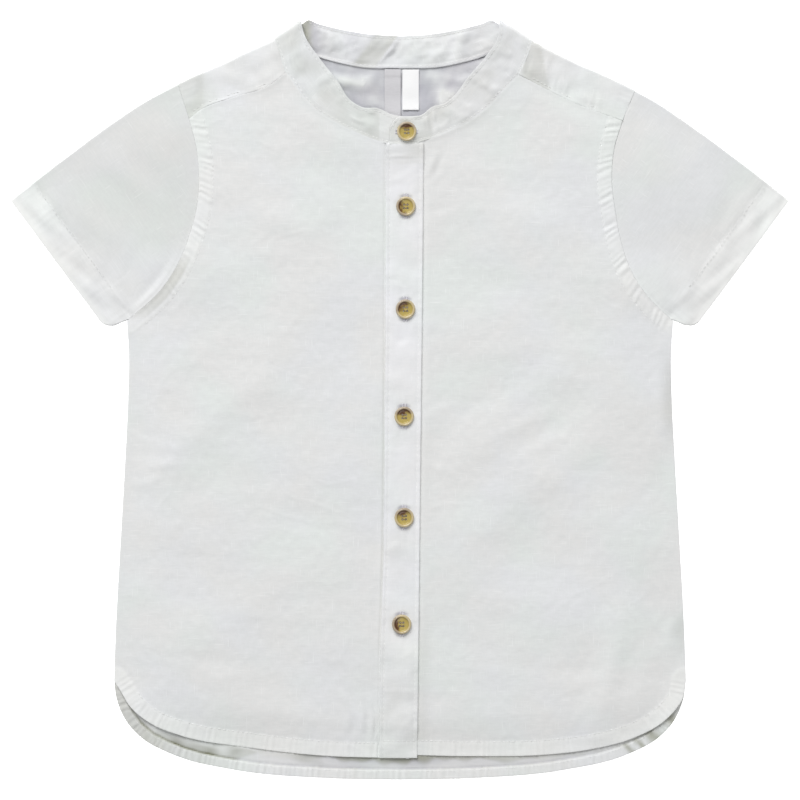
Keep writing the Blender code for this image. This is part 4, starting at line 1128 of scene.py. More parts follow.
def yokeExtra(points):
    # inside the neck it lies in soft folds, and on the fronts it puckers along its seam
    x, y, z = points.T
    inNeck = rise(y, 140, 152) * rise(60 - np.abs(x), 0, 16) * (z < cloth["restingZ"])
    folds = 0.55 + 0.30 * swell(x, y, 26, 52) + 0.10 * swell(x, y, 12, 53) + creased(x, y, yokeFolds)
    atSeam = distanceTo(joined(coarse["right"]["backNeck"], coarse["left"]["backNeck"][::-1]), x, y)
    folds = np.clip(folds, 0, 1.7) * rise(np.abs(x - 1.0), 7, 18) * rise(atSeam, 0, 6) + 0.05
    extra = (z < cloth["restingZ"]) * -0.14 * hump(y - backYokeY - 1.8, 0.6)
    for side in sign:
        below = np.minimum(*(distanceTo(coarse[side][name], x, y) for name in ("shoulder", "armholeBack")))
        calm = rise(below, 3, 10) * rise(atSeam, 2, 8) * rise(y - backYokeY, 1, 8) * (sign[side] * x > 0)
        extra -= (z < cloth["restingZ"]) * calm * np.clip(underLift(x, y, 47), 0, 0.5)
        distance, along, _ = nearest(coarse[side]["yoke"], x, y)
        onFront = (z > 1.4) * (sign[side] * x > 0)
        ribs = ripple(along + 0.2 * distance, 3.9, 2) * (0.7 + 0.4 * swell(x, y, 22, 59))
        extra += onFront * yoke["pucker"] * ribs * rise(distance, 0, 2) * (1 - rise(distance, 7, 13))
        loose = 0.16 * swell(x, y, 15, 54) + 0.07 * swell(x, y, 8, 55)
        extra += onFront * (loose + creased(x, y, yokeCreases))
        extra -= onFront * 0.08 * hump(distance - 1.8, 0.6)
        neck = distanceTo(joined(coarse[side]["neckStrip"], coarse[side]["yoke"]), x, y)
        extra += onFront * front["seamRidge"] * hump(neck, 1.2)
        hole, along, _ = nearest(coarse[side]["armholeFront"], x, y)
        ribs = ripple(along, front["spacing"], 4) * (1 - rise(hole, 7.2, 8.4)) * rise(hole, 0, 1.2)
        extra += onFront * (0.10 * ribs + 0.09 * hump(hole - 8.4, 0.8))
    return extra, inNeck * folds


def makeYoke():
    groups, neckLine = {}, {}
    half = cloth["gap"] / 2
    for side in sign:
        lines, s = fine[side], sign[side]
        strip = sideways(lines["neckStrip"], s * half)
        down = sideways(lines["armholeBack"], -s * half)[: yokeBack + 1]
        holeFront = sideways(lines["armholeFront"], -s * half)[: yokeFront + 1]
        neckLine[side] = sideways(lines["backNeck"], s * half)
        ends = sideways(lines["yoke"], s * half)
        ends[0], ends[-1] = strip[-1], holeFront[-1]
        seamAcross = across(ends)
        tops = lines["shoulder"].copy()
        tops[0], tops[-1] = strip[0], holeFront[0]
        columns = []
        for i, (top, end) in enumerate(zip(tops, ends)):
            path = even(np.array([top, end]), yokeFront)
            if i == 0:
                path = strip
            if i == len(tops) - 1:
                path = holeFront
            over = float(upperZ(*path[0]))
            reach = cloth["wall"] / 2 + cloth["neckEase"] * max(0, 1 - i / fineSteps)
            path, bulge = fromTip(path, reach, cloth["underZ"], over)
            z = upperZ(*path.T)
            fold = foldedEdge(path[0], bulge, cloth["underZ"], over, yoke["foldSteps"])
            past = [*fold, (*path[0], over), *lifted(path, z)[1:]]
            ways = np.zeros((len(past), 3))
            if i in (0, len(tops) - 1):
                ways[:] = across([path[0], path[0] - bulge])[0]
                ways[-yokeFront:] = across(path)[1:]
            ways[-1] = seamAcross[i]
            columns.append({"centre": path[0], "past": past, "ways": ways})
        groups[side] = {"columns": columns, "down": down}
    right, left = groups["right"], groups["left"]
    line = joined(neckLine["right"], neckLine["left"][::-1])
    middle = [{"centre": place} for place in line[1:-1]]
    columns = right["columns"][::-1] + middle + left["columns"]
    count, own = len(columns), len(right["columns"])
    lowX = np.linspace(right["down"][-1][0], left["down"][-1][0], count)
    upper = np.array([column["centre"] for column in columns])
    rows = []
    for k in range(yokeBack + 1):
        share = k / yokeBack
        row = (1 - share) * lifted(lowX, backYokeY + half) + share * upper
        for end, group in ((0, right), (-1, left)):
            hole = group["down"][::-1][k] if 0 < k < yokeBack else row[end]
            weight = np.linspace(1, 0, count) if end == 0 else np.linspace(0, 1, count)
            row = row + (weight**3)[:, None] * (hole - row[end])
        rows.append(lifted(row, cloth["underZ"]))
    ways = [np.zeros((count, 3)) for row in rows]
    nothing = (0, 0, 0)
    for k in range(len(right["columns"][0]["past"])):
        rows.append(np.array([c["past"][k] if "past" in c else nothing for c in columns]))
        ways.append(np.array([c["ways"][k] if "past" in c else nothing for c in columns]))
    points, ways = np.concatenate(rows), np.concatenate(ways)
    faces = gridFaces(len(rows) - 1, count - 1)
    i, j = np.divmod(np.arange(len(faces)), count - 1)
    faces = faces[(i < yokeBack) | (j < own - 1) | (j >= count - own)][:, ::-1]
    used, faces = usedOnly(faces, len(points))
    points, ways = points[used], ways[used]
    extra, folds = yokeExtra(points)
    # inside the neck the cloth's upper side is the inner one, and it rises away from the surface
    shifted = points + lifted(np.zeros((len(points), 2)), np.maximum(folds, -0.02))
    every, made, source = wall(shifted, faces, yoke["low"], yoke["high"], extra, ways)
    every[:, 2] = np.maximum(every[:, 2], 0)
    x, y, z = every.T
    inNeck = rise(y, 138, 146) * rise(64 - np.abs(x), 0, 8) * (z < 2.4)
    innerSide = (np.arange(len(every)) >= len(points)) & (np.arange(len(every)) < 2 * len(points))
    # painted shade inside the neck, lighter where its folds rise and darker in patches
    shade = -0.76 + 0.40 * np.clip(folds[source] - 0.5, -0.7, 0.9)
    shade = shade + 0.15 * swell(x, y, 13, 56) + 0.05 * swell(x, y, 5, 58, 24)
    for cx, cy, wide, tall, deep in yoke["dim"]:
        shade = shade - deep * np.exp(-(((x - cx + 0.25 * (y - cy)) / wide) ** 2 + ((y - cy) / tall) ** 2))
    # painted shade on its parts on the fronts: a little everywhere, more in a band near the neck on the
    # wearer's left and at the end on the wearer's right
    dim = -0.05 - 0.10 * np.clip(swell(x, y, 20, 57), -0.5, 2)
    dim = dim - 0.40 * (rise(x, 67, 69) - rise(x + 0.2 * (y - 180), 79.5, 81.0)) - 0.35 * rise(-x, 106, 110)
    dim = np.where(z > cloth["betweenZ"], dim, -0.04)
    within = innerSide & (inNeck > 0.5)
    depth = np.where(within, shade, dim)
    obj = addObject("yoke_cloth", every, made, every[:, :2], whiteLinen, depth, ~within)
    paths = []
    for side in sign:
        path = sideways(fine[side]["yoke"], sign[side] * 1.8)[4:-4]
        top = upperZ(*path.T) + cloth["wall"] / 2 - 0.14 + stitch["sunk"]
        paths.append(lifted(path, top))
    x = np.linspace(-112.0, 112.0, 150)
    paths.append(lifted(lifted(x, backYokeY + 1.8), 0.16))
    sewn("yoke", paths)
    return finishPiece(obj, "yoke")


makeYoke()

sleeve = {
    "rings": 84, "foldSteps": 10, "low": -0.2, "high": 0.5, "hemPucker": 0.22, "hemSpacing": 4.6,
    "cuffWide": 84,
    "lineFrom": (122, 174),  # its thread runs the way from here to the cuff's top
    # how deep the painted shade lies on each sleeve
    "dim": {"right": -0.29, "left": -0.16},
    "rough": {"right": 0.15, "left": 0.5},
    "grainFrom": {"right": (40.0, 95.0), "left": (40.0, 95.0)},
}

sleeveCreases = (
    (((-168.0, 128.0), (-150.0, 112.0), (-136.0, 92.0)), 6.0, 0.34),
    (((-186.0, 104.0), (-170.0, 90.0), (-152.0, 80.0)), 5.0, 0.28),
    (((-146.0, 136.0), (-132.0, 118.0), (-124.0, 98.0)), 6.0, 0.34),
    (((-150.0, 66.0), (-146.0, 78.0), (-136.0, 90.0)), 4.0, 0.26),
    (((-123.0, 82.0), (-133.0, 67.0), (-151.0, 47.5)), 3.0, 0.50),
    (((150.0, 142.0), (161.0, 121.0), (165.0, 98.0)), 6.0, 0.34),
    (((130.0, 124.0), (142.0, 106.0), (150.0, 86.0)), 5.0, 0.30),
    (((182.0, 120.0), (179.0, 101.0), (172.0, 84.0)), 5.0, 0.28),
    (((152.0, 66.0), (150.0, 80.0), (140.0, 96.0)), 4.0, 0.24),
)


def cuffNormal(side):
    way = mirrored(cuffTop, side) - mirrored(cuffBottom, side)
    return sign[side] * np.array([way[1], -way[0]]) / np.linalg.norm(way)


def sleeveAt(armhole, cuffEnds, lines, u):
    v = shares(armhole)[:, None]
    cuff = (1 - v) * cuffEnds[0] + v * cuffEnds[1]
    top, under = atShares(lines["sleeveTop"], [u])[0], atShares(lines["sleeveUnder"], [u])[0]
    top = top + (1 - u) * (armhole[0] - lines["sleeveTop"][0])
    under = under + (1 - u) * (armhole[-1] - lines["sleeveUnder"][0])
    corners = (1 - u) * ((1 - v) * armhole[0] + v * armhole[-1]) + u * cuff
    return (1 - u) * armhole + u * cuff + (1 - v) * top + v * under - corners


def makeSleeve(side):
    s, lines = sign[side], fine[side]
    half = cloth["gap"] / 2
    front = sideways(lines["armholeFront"], s * half)
    back = sideways(lines["armholeBack"], s * half)
    back[0], back[-1] = front[0], front[-1]
    cuffEnds = mirrored((cuffTop, cuffBottom), side)
    rings, squares = [], []
    foldSteps = sleeve["foldSteps"]
    for u in np.linspace(0, 1, sleeve["rings"] + 1):
        paths = [sleeveAt(line, cuffEnds, lines, u) for line in (front, back)]
        over = upperZ(paths[0][[0, -1], 0], paths[0][[0, -1], 1])
        ends = []
        for line, z, reach in (
            (paths[0], over[0], cloth["wall"] / 2),
            (paths[0][::-1], over[1], cloth["wall"] / 2 + cloth["underarmEase"] * (1 - u)),
        ):
            way = (line[1] - line[0]) / np.linalg.norm(line[1] - line[0])
            move = (z - cloth["underZ"]) / 2 + reach
            ends.append((line[0] + way * move, -way, move))
        (centre, bulge, cut), (last, bulgeLast, cutLast) = ends
        trimmed = []
        for path in paths:
            along = lengths(path)
            rest = path[(along > cut + 0.2) & (along < along[-1] - cutLast - 0.2)]
            trimmed.append(even(np.concatenate([[centre], rest, [last]]), len(path) - 1))
        upperPath, lowerPath = trimmed
        z = upperZ(*upperPath.T)
        z[0], z[-1] = over
        ring = list(lifted(upperPath, z))
        ring += foldedEdge(last, bulgeLast, cloth["underZ"], over[1], foldSteps)[::-1]
        ring += list(lifted(lowerPath[::-1], cloth["underZ"]))
        ring += foldedEdge(centre, bulge, cloth["underZ"], over[0], foldSteps)
        rings.append(ring)
        square = np.zeros((len(ring), 3))
        if u == 0:
            seam = across(paths[0])
            square[: len(seam)] = seam
            square[len(seam) : len(seam) + foldSteps] = seam[-1]
            square[-foldSteps:] = seam[0]
        squares.append(square)
    around = len(rings[0])
    i, j = np.meshgrid(np.arange(len(rings) - 1), np.arange(around), indexing="ij")
    k = (j + 1) % around
    faces = np.stack([i * around + j, i * around + k, (i + 1) * around + k, (i + 1) * around + j], 2)
    faces = faces.reshape(-1, 4)
    if s > 0:
        faces = faces[:, ::-1]
    points = np.array(rings, float).reshape(-1, 3)
    fromCuff = (mirrored(cuffTop, side) - points[:, :2]) @ cuffNormal(side)
    extra = sleeveExtra(points, fromCuff, side)
    every, made, source = wall(points, faces, sleeve["low"], sleeve["high"], extra, np.concatenate(squares))
    every[:, 2] = np.maximum(every[:, 2], 0)
    fromOut, fromY = sleeve["lineFrom"]
    turn = math.atan2(cuffTop[1] - fromY, s * (cuffTop[0] - fromOut))
    cos, sin = math.cos(turn), math.sin(turn)
    flat = every[:, :2] @ np.array([[cos, -sin], [sin, cos]])
    band = bandTo(fromCuff, sleeveHem, 0.8, 0.8)
    # painted shade over the upper sleeve, and painted light towards the underarm and along the cuff's edge,
    # where the cloth turns down; the doubled hem is whiter
    dim = sleeve["dim"][side] * rise(points[:, 1], 66, 106) + 0.12 * (1 - rise(points[:, 1], 60, 92))
    depth = (0.16 * band + dim * (1 - band) + 0.4 * (1 - rise(fromCuff, 0, 6)))[source]
    grain = flat[:, ::-1] + sleeve["grainFrom"][side]
    obj = addObject(f"sleeve_{side}_cloth", every, made, grain, whiteLinen, depth, 0.8)
    # the hem's stitches, even with the cuff, on the upper layer and on the one below
    ends = mirrored((cuffTop, cuffBottom), side)
    line = ends - cuffNormal(side) * sleeveHem
    share = np.linspace(0.04, 0.93, 90)[:, None]
    path = line[0] * (1 - share) + line[1] * share
    path = path[distanceTo(lines["armholeFront"], *path.T) > 1.5]
    lift = sleeveExtra(lifted(path, 3.0), np.full(len(path), sleeveHem), side)
    above = upperZ(*path.T) + sleeve["high"] + lift + stitch["sunk"]
    hemPath = [lifted(path, above), lifted(path, 0.17)]
    sewn("sleeve_" + side, hemPath, thick=0.22)
    return finishPiece(obj, "sleeve_" + side)


def sleeveExtra(points, fromCuff, side):
    x, y, z = points.T
    isTop = z > cloth["betweenZ"]
    line = coarse[side]["armholeFront"]
    seamDistance, along, _ = nearest(line, x, y)
    start = mirrored(cuffTop, side)
    cuffAlong = (points[:, :2] - start) @ (mirrored(cuffBottom, side) - start) / sleeve["cuffWide"]
    band = bandTo(fromCuff, sleeveHem, 0.5, 1.0)
    near = 1 - rise(fromCuff, sleeveHem, sleeveHem + 14)
    calm = rise(seamDistance, 0, 9) * (1 - 0.5 * band)
    extra = crumple(x, y, 21, sleeve["rough"][side]) * calm * isTop * (0.75 if side == "right" else 1.0)
    extra += isTop * cloth["hemRaise"] * band
    extra += isTop * 0.10 * hump(fromCuff - sleeveHem - 1.2, 0.8)
    wave = 0.9 * swell(fromCuff * 0.8, cuffAlong * 0.5, 7, 23)
    wave = wave + 0.20 * ripple(cuffAlong, sleeve["hemSpacing"], 5)
    extra += isTop * sleeve["hemPucker"] * wave * (0.45 * near + 0.55 * band) * rise(fromCuff, 0, 4)
    extra += isTop * creased(x, y, sleeveCreases) * rise(seamDistance, 0, 5)
    extra -= (0.03 * isTop + 0.12 * ~isTop) * hump(fromCuff - sleeveHem, 0.8)
    pulled = hump(seamDistance, 5) * rise(seamDistance, 0, 1.5)
    extra += isTop * 0.08 * ripple(along, front["spacing"] + 0.4, 6) * pulled
    extra += isTop * 0.10 * hump(seamDistance - 1.0, 0.8)
    edge = np.minimum(*(distanceTo(coarse[side][name], x, y) for name in ("sleeveTop", "sleeveUnder")))
    calm = rise(edge, 3, 10) * rise(seamDistance, 2, 9) * rise(fromCuff, 0, 4)
    lift = underLift(x, y, 25) + 0.8 * creased(x, y, sleeveCreases) - 0.10 * ripple(cuffAlong, 4.2, 8) * band
    extra -= (z < cloth["restingZ"]) * calm * np.clip(lift, 0, 0.5)
    return extra


for side in sign:
    makeSleeve(side)

placket = {
    "onFront": 0.55,
    "stitchIn": 1.9,  # from each edge
    "footSeam": -187.6,  # y of the stitches across its foot
    "groove": 0.22,
    "pucker": 0.07,
    "columns": 26,
    "rows": 400,
    "creases": (
        (((-9.0, 132.5), (2.0, 134.0), (13.5, 131.0)), 1.3, 0.22),
        (((-10.0, -160.5), (0.0, -159.5), (10.0, -161.0)), 1.1, 0.12),
        (((-8.0, 118.0), (4.0, 124.0), (13.0, 129.0)), 2.2, 0.18),
        (((-8.5, 112.0), (-2.0, 116.0), (4.0, 114.0)), 1.8, 0.16),
        (((4.0, 96.0), (8.0, 90.0), (11.0, 80.0)), 1.8, 0.16),
        (((-9.0, 62.0), (-3.0, 64.0), (3.0, 60.0)), 1.6, 0.16),
        (((-8.0, 36.0), (-2.0, 30.0), (8.0, 32.0)), 1.9, 0.14),
        (((-8.0, -26.0), (0.0, -29.0), (9.0, -24.0)), 1.9, 0.14),
        (((-9.0, -84.0), (-2.0, -80.0), (8.0, -83.0)), 1.9, 0.15),
        (((-9.0, -138.0), (-1.0, -142.0), (8.0, -138.0)), 1.6, 0.10),
        (((-8.0, -176.0), (-1.0, -179.0), (8.0, -175.0)), 1.6, 0.10),
        (((5.0, -146.0), (4.0, -164.0), (6.0, -178.0)), 1.4, 0.08),
    ),
}
buttonPlaces = ((3.7, 147.4), (3.2, 106.4), (3.0, 49.9), (2.3, -9.0), (2.3, -64.6), (0.9, -123.2))


def buttonShade(x, y, place):
    # painted shade where the cloth turns down round a button, most at the ends of its buttonhole
    dx, dy = x - place[0], y - place[1]
    away = np.hypot(dx, dy)
    ends = rise(np.abs(dy) / np.maximum(away, 0.1), 0.72, 0.98) * np.where(dy > 0, 1.5, 1.1)
    return hump(away - 6.1, 1.0) * (ends + 0.35 * (dx < 0))


def placketTop(x, y, fromEdge):
    onHem = cloth["hemRaise"] * bandTo(y, placketEdges[-1][0] + frontHem, 0, 3)
    z = upperZ(x, y) + placket["onFront"] + cloth["wall"] / 2 + onHem - hemSag(x, y) + neckRise(x, y)
    z = z + 0.18 * hump(fromEdge - 0.8, 0.7) + 0.014 * swell(x, y, 5, 63, 24)
    z = z - 0.2 * rise(y, 140.0, 140.5)
    z = z - placket["groove"] * hump(fromEdge - placket["stitchIn"], 0.6)
    z = z + placket["pucker"] * ripple(y, 5.5, 3) * hump(fromEdge, 2.5)
    rough = 1 + 0.3 * rise(-y, 120, 150)
    z = z + rough * (0.09 * swell(x, y, 17, 61) + 0.04 * swell(x, y, 8, 62))
    z = z + creased(x, y, placket["creases"])
    for cx, cy in buttonPlaces[1:]:
        # the buttonhole draws the cloth in, with short creases from its ends
        dx, dy = x - cx, y - cy
        z = z - 0.12 * np.exp(-((dx / 1.6) ** 2 + (dy / 7.5) ** 2))
        z = z + 0.10 * np.cos(dx * 1.5) * np.exp(-((dx / 5) ** 2 + ((np.abs(dy) - 8) / 3.5) ** 2))
    z = z - 0.12 * hump(y - placket["footSeam"], 0.6) - 0.14 * hump(y - 132.4, 0.7)
    return z


def makePlacket():
    rows = np.linspace(placketEdges[0][0] + 1.0, placketEdges[-1][0], placket["rows"] + 1)[::-1]
    t = np.linspace(0, 1, placket["columns"] + 1)
    low, high = placketEdge(rows, 1)[:, None], placketEdge(rows, 2)[:, None]
    x = low + t * (high - low)
    y = np.repeat(rows[:, None], len(t), 1)
    fromEdge = np.minimum(x - low, high - x)
    z = placketTop(x, y, fromEdge) - cloth["thick"] / 2
    points = np.stack([x, y, z], 2).reshape(-1, 3)
    faces = gridFaces(len(rows) - 1, len(t) - 1)
    every, made, _ = wall(points, faces, -cloth["thick"] / 2, cloth["thick"] / 2)
    x, y, _ = every.T
    # doubled, so whiter; painted shade towards its foot and round the buttons
    depth = 0.24 - 0.30 * rise(-y, 128, 150) - 0.10 * swell(x, y, 24, 64)
    # below the collar it shows the seam allowances within, and a painted shadow lies just below their edge
    head = rise(y, 132.2, 133.2)
    depth -= 0.34 * head + 0.30 * hump(y - 131.0, 1.5)
    for place in buttonPlaces[1:]:
        depth -= buttonShade(x, y, place)
    olive = np.maximum(rise(-y, 120, 145), head)
    obj = addObject("placket_cloth", every, made, every[:, :2], whiteLinen, depth, olive)
    margin, length = placket["stitchIn"], np.arange(-194.0, 138.5, 1.0)
    paths = []
    for x in (placketEdge(length, 1) + margin, placketEdge(length, 2) - margin):
        height = placketTop(x, length, np.full(len(x), margin)) + stitch["sunk"]
        paths.append(np.column_stack([x, length, height]))
    x = np.linspace(-9.0, 7.5, 16)
    y = np.full(len(x), placket["footSeam"])
    paths.append(np.column_stack([x, y, placketTop(x, y, np.full(len(x), 5.0)) + stitch["sunk"]]))
    sewn("placket", paths)
    return finishPiece(obj, "placket")


makePlacket()

collar = {
    "half": 0.68,  # both plies, each side of the middle
    "lap": 0.25,  # over the neck seam
    "backZ": 1.15,
    "overlap": 1.45,
    "tiltSide": 1.4,
    "tiltFront": 0.5,
    "riseFrom": 28.0,
    "riseTo": 9.0,
    "rows": 20,
    "foldSteps": 9,
    "plies": (0.04, 0.68),
    "stitchIn": 1.7,
    "groove": 0.20,
    "top": {
        "right": (
            (54.7, 209.2), (52.4, 200.5), (44.0, 187.6), (34.1, 174.9), (27.5, 165.0),
            (19.8, 160.6), (12.6, 160.4), (4.4, 156.8), (-6.6, 155.4),
        ),
        "left": (
            (54.7, 209.2), (54.0, 199.8), (46.2, 187.6), (37.4, 177.4), (28.6, 166.0),
            (24.2, 162.8), (18.4, 161.4), (11.0, 156.2), (6.6, 155.7),
        ),
    },
    "backTop": ((51.0, 208.9), (45.0, 207.0), (35.8, 204.6), (27.5, 202.9), (16.5, 201.2), (0.0, 200.2)),
    # the rounded end that lies on top: out at the seam, out and y at the top edge
    "end": (
        (3.0, 3.0, 155.7), (-1.0, -0.6, 155.4), (-2.8, -2.4, 154.3), (-3.9, -3.4, 152.8),
        (-5.0, -4.6, 151.0), (-5.8, -5.3, 149.0),
    ),
}


def collarStrand(side):
    s, lines = sign[side], fine[side]
    base = sideways(joined(lines["neckStrip"], lines["neck"]), s * collar["lap"])
    topLine = spline(mirrored(collar["top"][side], side), 240)
    top = atShares(topLine, shares(base))
    z = cloth["collarZ"]
    base, bulgeLow = fromTip(base, collar["half"], collar["backZ"], z)
    top, bulgeHigh = fromTip(top, collar["half"], collar["backZ"], z + collar["tiltSide"])
    if side == "left":
        end = np.array(collar["end"])
        base = np.concatenate([base, spline(lifted(end[:, 0], base[-1][1]), 12)])
        top = np.concatenate([top, spline(end[:, 1:], 12)])
    out = s * base[:, 0]
    over = collar["overlap"] * rise(out, collar["riseFrom"], collar["riseTo"]) * (side == "left")
    tilt = np.interp(out, (0, neckSides[side][0]), (collar["tiltFront"], collar["tiltSide"]))
    return lifted(base, z + over), lifted(top, z + over + tilt), (bulgeLow, bulgeHigh)


def collarRing():
    # the stations all round: the end that lies under, the back, the end on top
    strands = {side: collarStrand(side) for side in sign}
    folds, halves = {}, {}
    for side in sign:
        low, high, bulges = strands[side]
        edges = []
        for corner, bulge in zip((low[0], high[0]), bulges):
            around = foldedEdge(corner[:2], bulge, collar["backZ"], corner[2], collar["foldSteps"])
            edges.append(np.array([(*corner[:2], collar["backZ"]), *around]))
        folds[side] = edges
        base = sideways(fine[side]["backNeck"], sign[side] * collar["lap"])
        topLine = spline([high[1][:2], *mirrored(collar["backTop"], side)], 240)
        top = atShares(topLine, shares(base))
        keep = lengths(base) > 4.0
        halves[side] = [lifted(line[keep], collar["backZ"]) for line in (base, top)]
    rings = []
    for k in range(2):
        rings.append(np.concatenate([
            strands["right"][k][::-1],
            folds["right"][k][::-1],
            halves["right"][k],
            halves["left"][k][::-1][1:],
            folds["left"][k],
            strands["left"][k],
        ]))
    return rings


collarCreases = (
    (((-31.0, 160.0), (-24.0, 154.0), (-14.0, 151.5)), 1.6, 0.30),
    (((18.0, 159.0), (19.5, 153.0), (22.0, 147.5)), 1.2, 0.34),
    (((27.5, 161.0), (31.0, 157.0), (33.0, 152.5)), 1.3, 0.20),
    (((33.0, 166.0), (37.5, 161.0), (41.0, 157.0)), 1.5, 0.18),
    (((24.0, 161.5), (26.5, 156.0), (27.0, 150.0)), 1.2, 0.16),
    (((-22.0, 160.5), (-17.0, 156.5), (-12.5, 156.0)), 1.4, -0.30),
    (((12.5, 157.5), (15.0, 152.0), (16.0, 147.0)), 1.4, 0.30),
    (((44.0, 179.0), (50.0, 171.0), (56.0, 170.0)), 3.0, 0.26),
    (((52.0, 196.0), (60.0, 190.0), (66.0, 190.0)), 3.2, 0.26),
    (((-40.0, 178.0), (-50.0, 171.0), (-55.0, 172.0)), 3.0, 0.24),
    (((-46.0, 186.0), (-55.0, 184.0), (-62.0, 187.0)), 3.4, 0.26),
)
collarBackFolds = (
    (((-47.0, 205.0), (-43.0, 203.0), (-41.0, 198.0)), 1.5, 0.6),
    (((-43.0, 204.0), (-38.0, 200.0), (-36.0, 192.0)), 1.5, 0.6),
    (((-36.0, 202.0), (-31.0, 196.0), (-30.0, 188.0)), 1.6, 0.5),
    (((-28.0, 201.0), (-24.0, 195.0), (-24.0, 188.0)), 1.8, 0.4),
    (((-0.5, 200.0), (-4.0, 193.5), (-12.5, 184.5)), 1.4, 0.8),
    (((-18.0, 200.5), (-13.0, 194.0), (-17.0, 186.0)), 4.0, -0.4),
    (((16.0, 199.5), (12.0, 193.0), (13.0, 187.0)), 3.0, 0.5),
    (((30.0, 201.0), (25.0, 195.0), (24.0, 188.0)), 2.6, 0.5),
    (((38.0, 203.5), (33.0, 196.0), (34.0, 189.0)), 2.4, 0.7),
    (((46.0, 205.0), (41.0, 199.0), (42.0, 192.0)), 2.2, 0.6),
)


def makeCollar():
    low, high = collarRing()
    rows = collar["rows"]
    t = np.linspace(0, 1, rows + 1)[None, :, None]
    points = (low[:, None] * (1 - t) + high[:, None] * t).reshape(-1, 3)
    faces = gridFaces(len(low) - 1, rows)
    ways = np.zeros((len(low), rows + 1, 3))
    ways[:, 0] = across(low)
    ways = ways.reshape(-1, 3)
    x, y, z = points.T
    along = np.repeat(lengths((low + high) / 2), rows + 1)
    share = np.tile(np.linspace(0, 1, rows + 1), len(low))
    tall = np.repeat(np.linalg.norm(high - low, axis=1), rows + 1)
    fromTop, fromSeam = (1 - share) * tall, share * tall
    inBack = z < 2.0
    soft = 0.22 * swell(x, y, 19, 71) + 0.10 * swell(x, y, 9, 72) + 0.05 * swell(x, y, 4.6, 73, 24)
    soft *= rise(fromSeam, 0, 5)
    edges = 0.06 * ripple(along, 4.2, 2) * (hump(fromTop, 3) + hump(fromSeam, 3))
    lines = hump(fromTop - collar["stitchIn"], 0.6) + hump(fromSeam - 1.4, 0.6)
    frontFolds = 1.7 * creased(x, y, collarCreases) * ~inBack * rise(fromTop, 0, 3)
    backFolds = creased(x, y, collarBackFolds) * inBack * rise(fromSeam, 0, 4) * rise(fromTop, 0, 4)
    ridge = 0.16 * hump(fromTop - 0.6, 0.6)
    relief = soft + edges
    atSeam = 1 - rise(fromSeam, 0, 3.5)
    outer = relief + ridge - collar["groove"] * lines + frontFolds
    outer += (0.12 * hump(fromSeam, 1.1) - 0.10 * atSeam) * ~inBack
    calm = rise(fromSeam, 0, 5) * rise(fromTop, 0, 4)
    inner = collar["groove"] * lines * 0.5 - ridge - backFolds
    inner = inner - inBack * calm * (0.4 + 0.3 * swell(x, y, 16, 74))
    cord = 0.45 * hump(fromSeam - 0.8, 0.6)
    pebbles = 0.06 * swell(x, y, 4.5, 77, 24) * inBack * calm
    inner = inner - relief * (0.5 + 0.4 * inBack) + (0.2 * atSeam - cord) * inBack + pebbles
    a, b = collar["plies"]
    made = []
    for name, limits, extra in (("collar_outer", (a, b), outer), ("collar_inner", (-b, -a), inner)):
        # the two plies keep clear of each other
        least = 0.12 + 0.2 * atSeam
        if name == "collar_outer":
            extra = np.maximum(extra, -least)
        else:
            extra = np.minimum(extra, least + 0.1 * atSeam)
        every, sides, source = wall(points, faces, *limits, extra, ways)
        every[:, 2] = np.maximum(every[:, 2], 0)
        grain = np.column_stack([along, fromSeam])[source]
        # painted shade: inside the back deepest towards the wearer's right, in a slanted patch and away from
        # the middle, with the doubled strip at the seam whiter; outside a little everywhere, more beside the
        # button and above it
        slant = x + 0.72 * (199 - y)
        patch = rise(slant, -19, -13) * (1 - rise(slant, -2.6, -1.4))
        dark = 1.1 * rise(-x, 38, 52) + 0.22 * rise(np.abs(x - 8), 16, 34)
        dark = dark + 0.55 * patch - 0.10 * swell(x, y, 13, 75)
        seen = inBack * (name == "collar_inner")
        dim = -0.12 - 0.14 * np.clip(swell(x, y, 17, 76), -0.6, 2)
        beside = rise(x, -28, -21) * (1 - rise(x, -11.8, -11.0))
        beside = beside + 0.7 * rise(x, 12, 14) * (1 - rise(x, 17.5, 18.5))
        dim = dim - 0.26 * beside * rise(z, 2, 3) * rise(fromTop, 1.5, 3)
        dim = dim - 0.5 * buttonShade(x, y, buttonPlaces[0]) * (y > buttonPlaces[0][1])
        depth = np.where(seen, np.where(fromSeam < 1.7, 0.3, -0.04 - dark), dim)[source]
        olive = np.where(seen, np.maximum(patch, rise(-x, 46, 52)), 1.0)[source]
        obj = addObject(name + "_cloth", every, sides, grain, whiteLinen, depth, olive)
        made.append(finishPiece(obj, name))
        first = 0 if name == "collar_outer" else len(points)
        skin = every[first : first + len(points)].reshape(len(low), rows + 1, 3)
        paths = []
        for share in (1 - collar["stitchIn"] / tall[:: rows + 1], 1.4 / tall[:: rows + 1]):
            level = np.clip(share * rows, 0, rows - 0.001)
            k = level.astype(int)
            part = (level - k)[:, None]
            i = np.arange(len(low))
            path = (1 - part) * skin[i, k] + part * skin[i, k + 1]
            path[:, 2] = np.maximum(path[:, 2] + 0.04, 0.12)
            paths.append(path[4:-4])
        sewn(name, paths)
    return made


makeCollar()

# x from and to, y from and to
labels = {"neck_label": (-8.5, 0.4, 152.0, 181.8), "size_label": (1.3, 10.4, 159.5, 181.8)}
tape = {"middle": 1.8 - 0.3, "half": 0.17}  # its height above the surface, and half its thickness


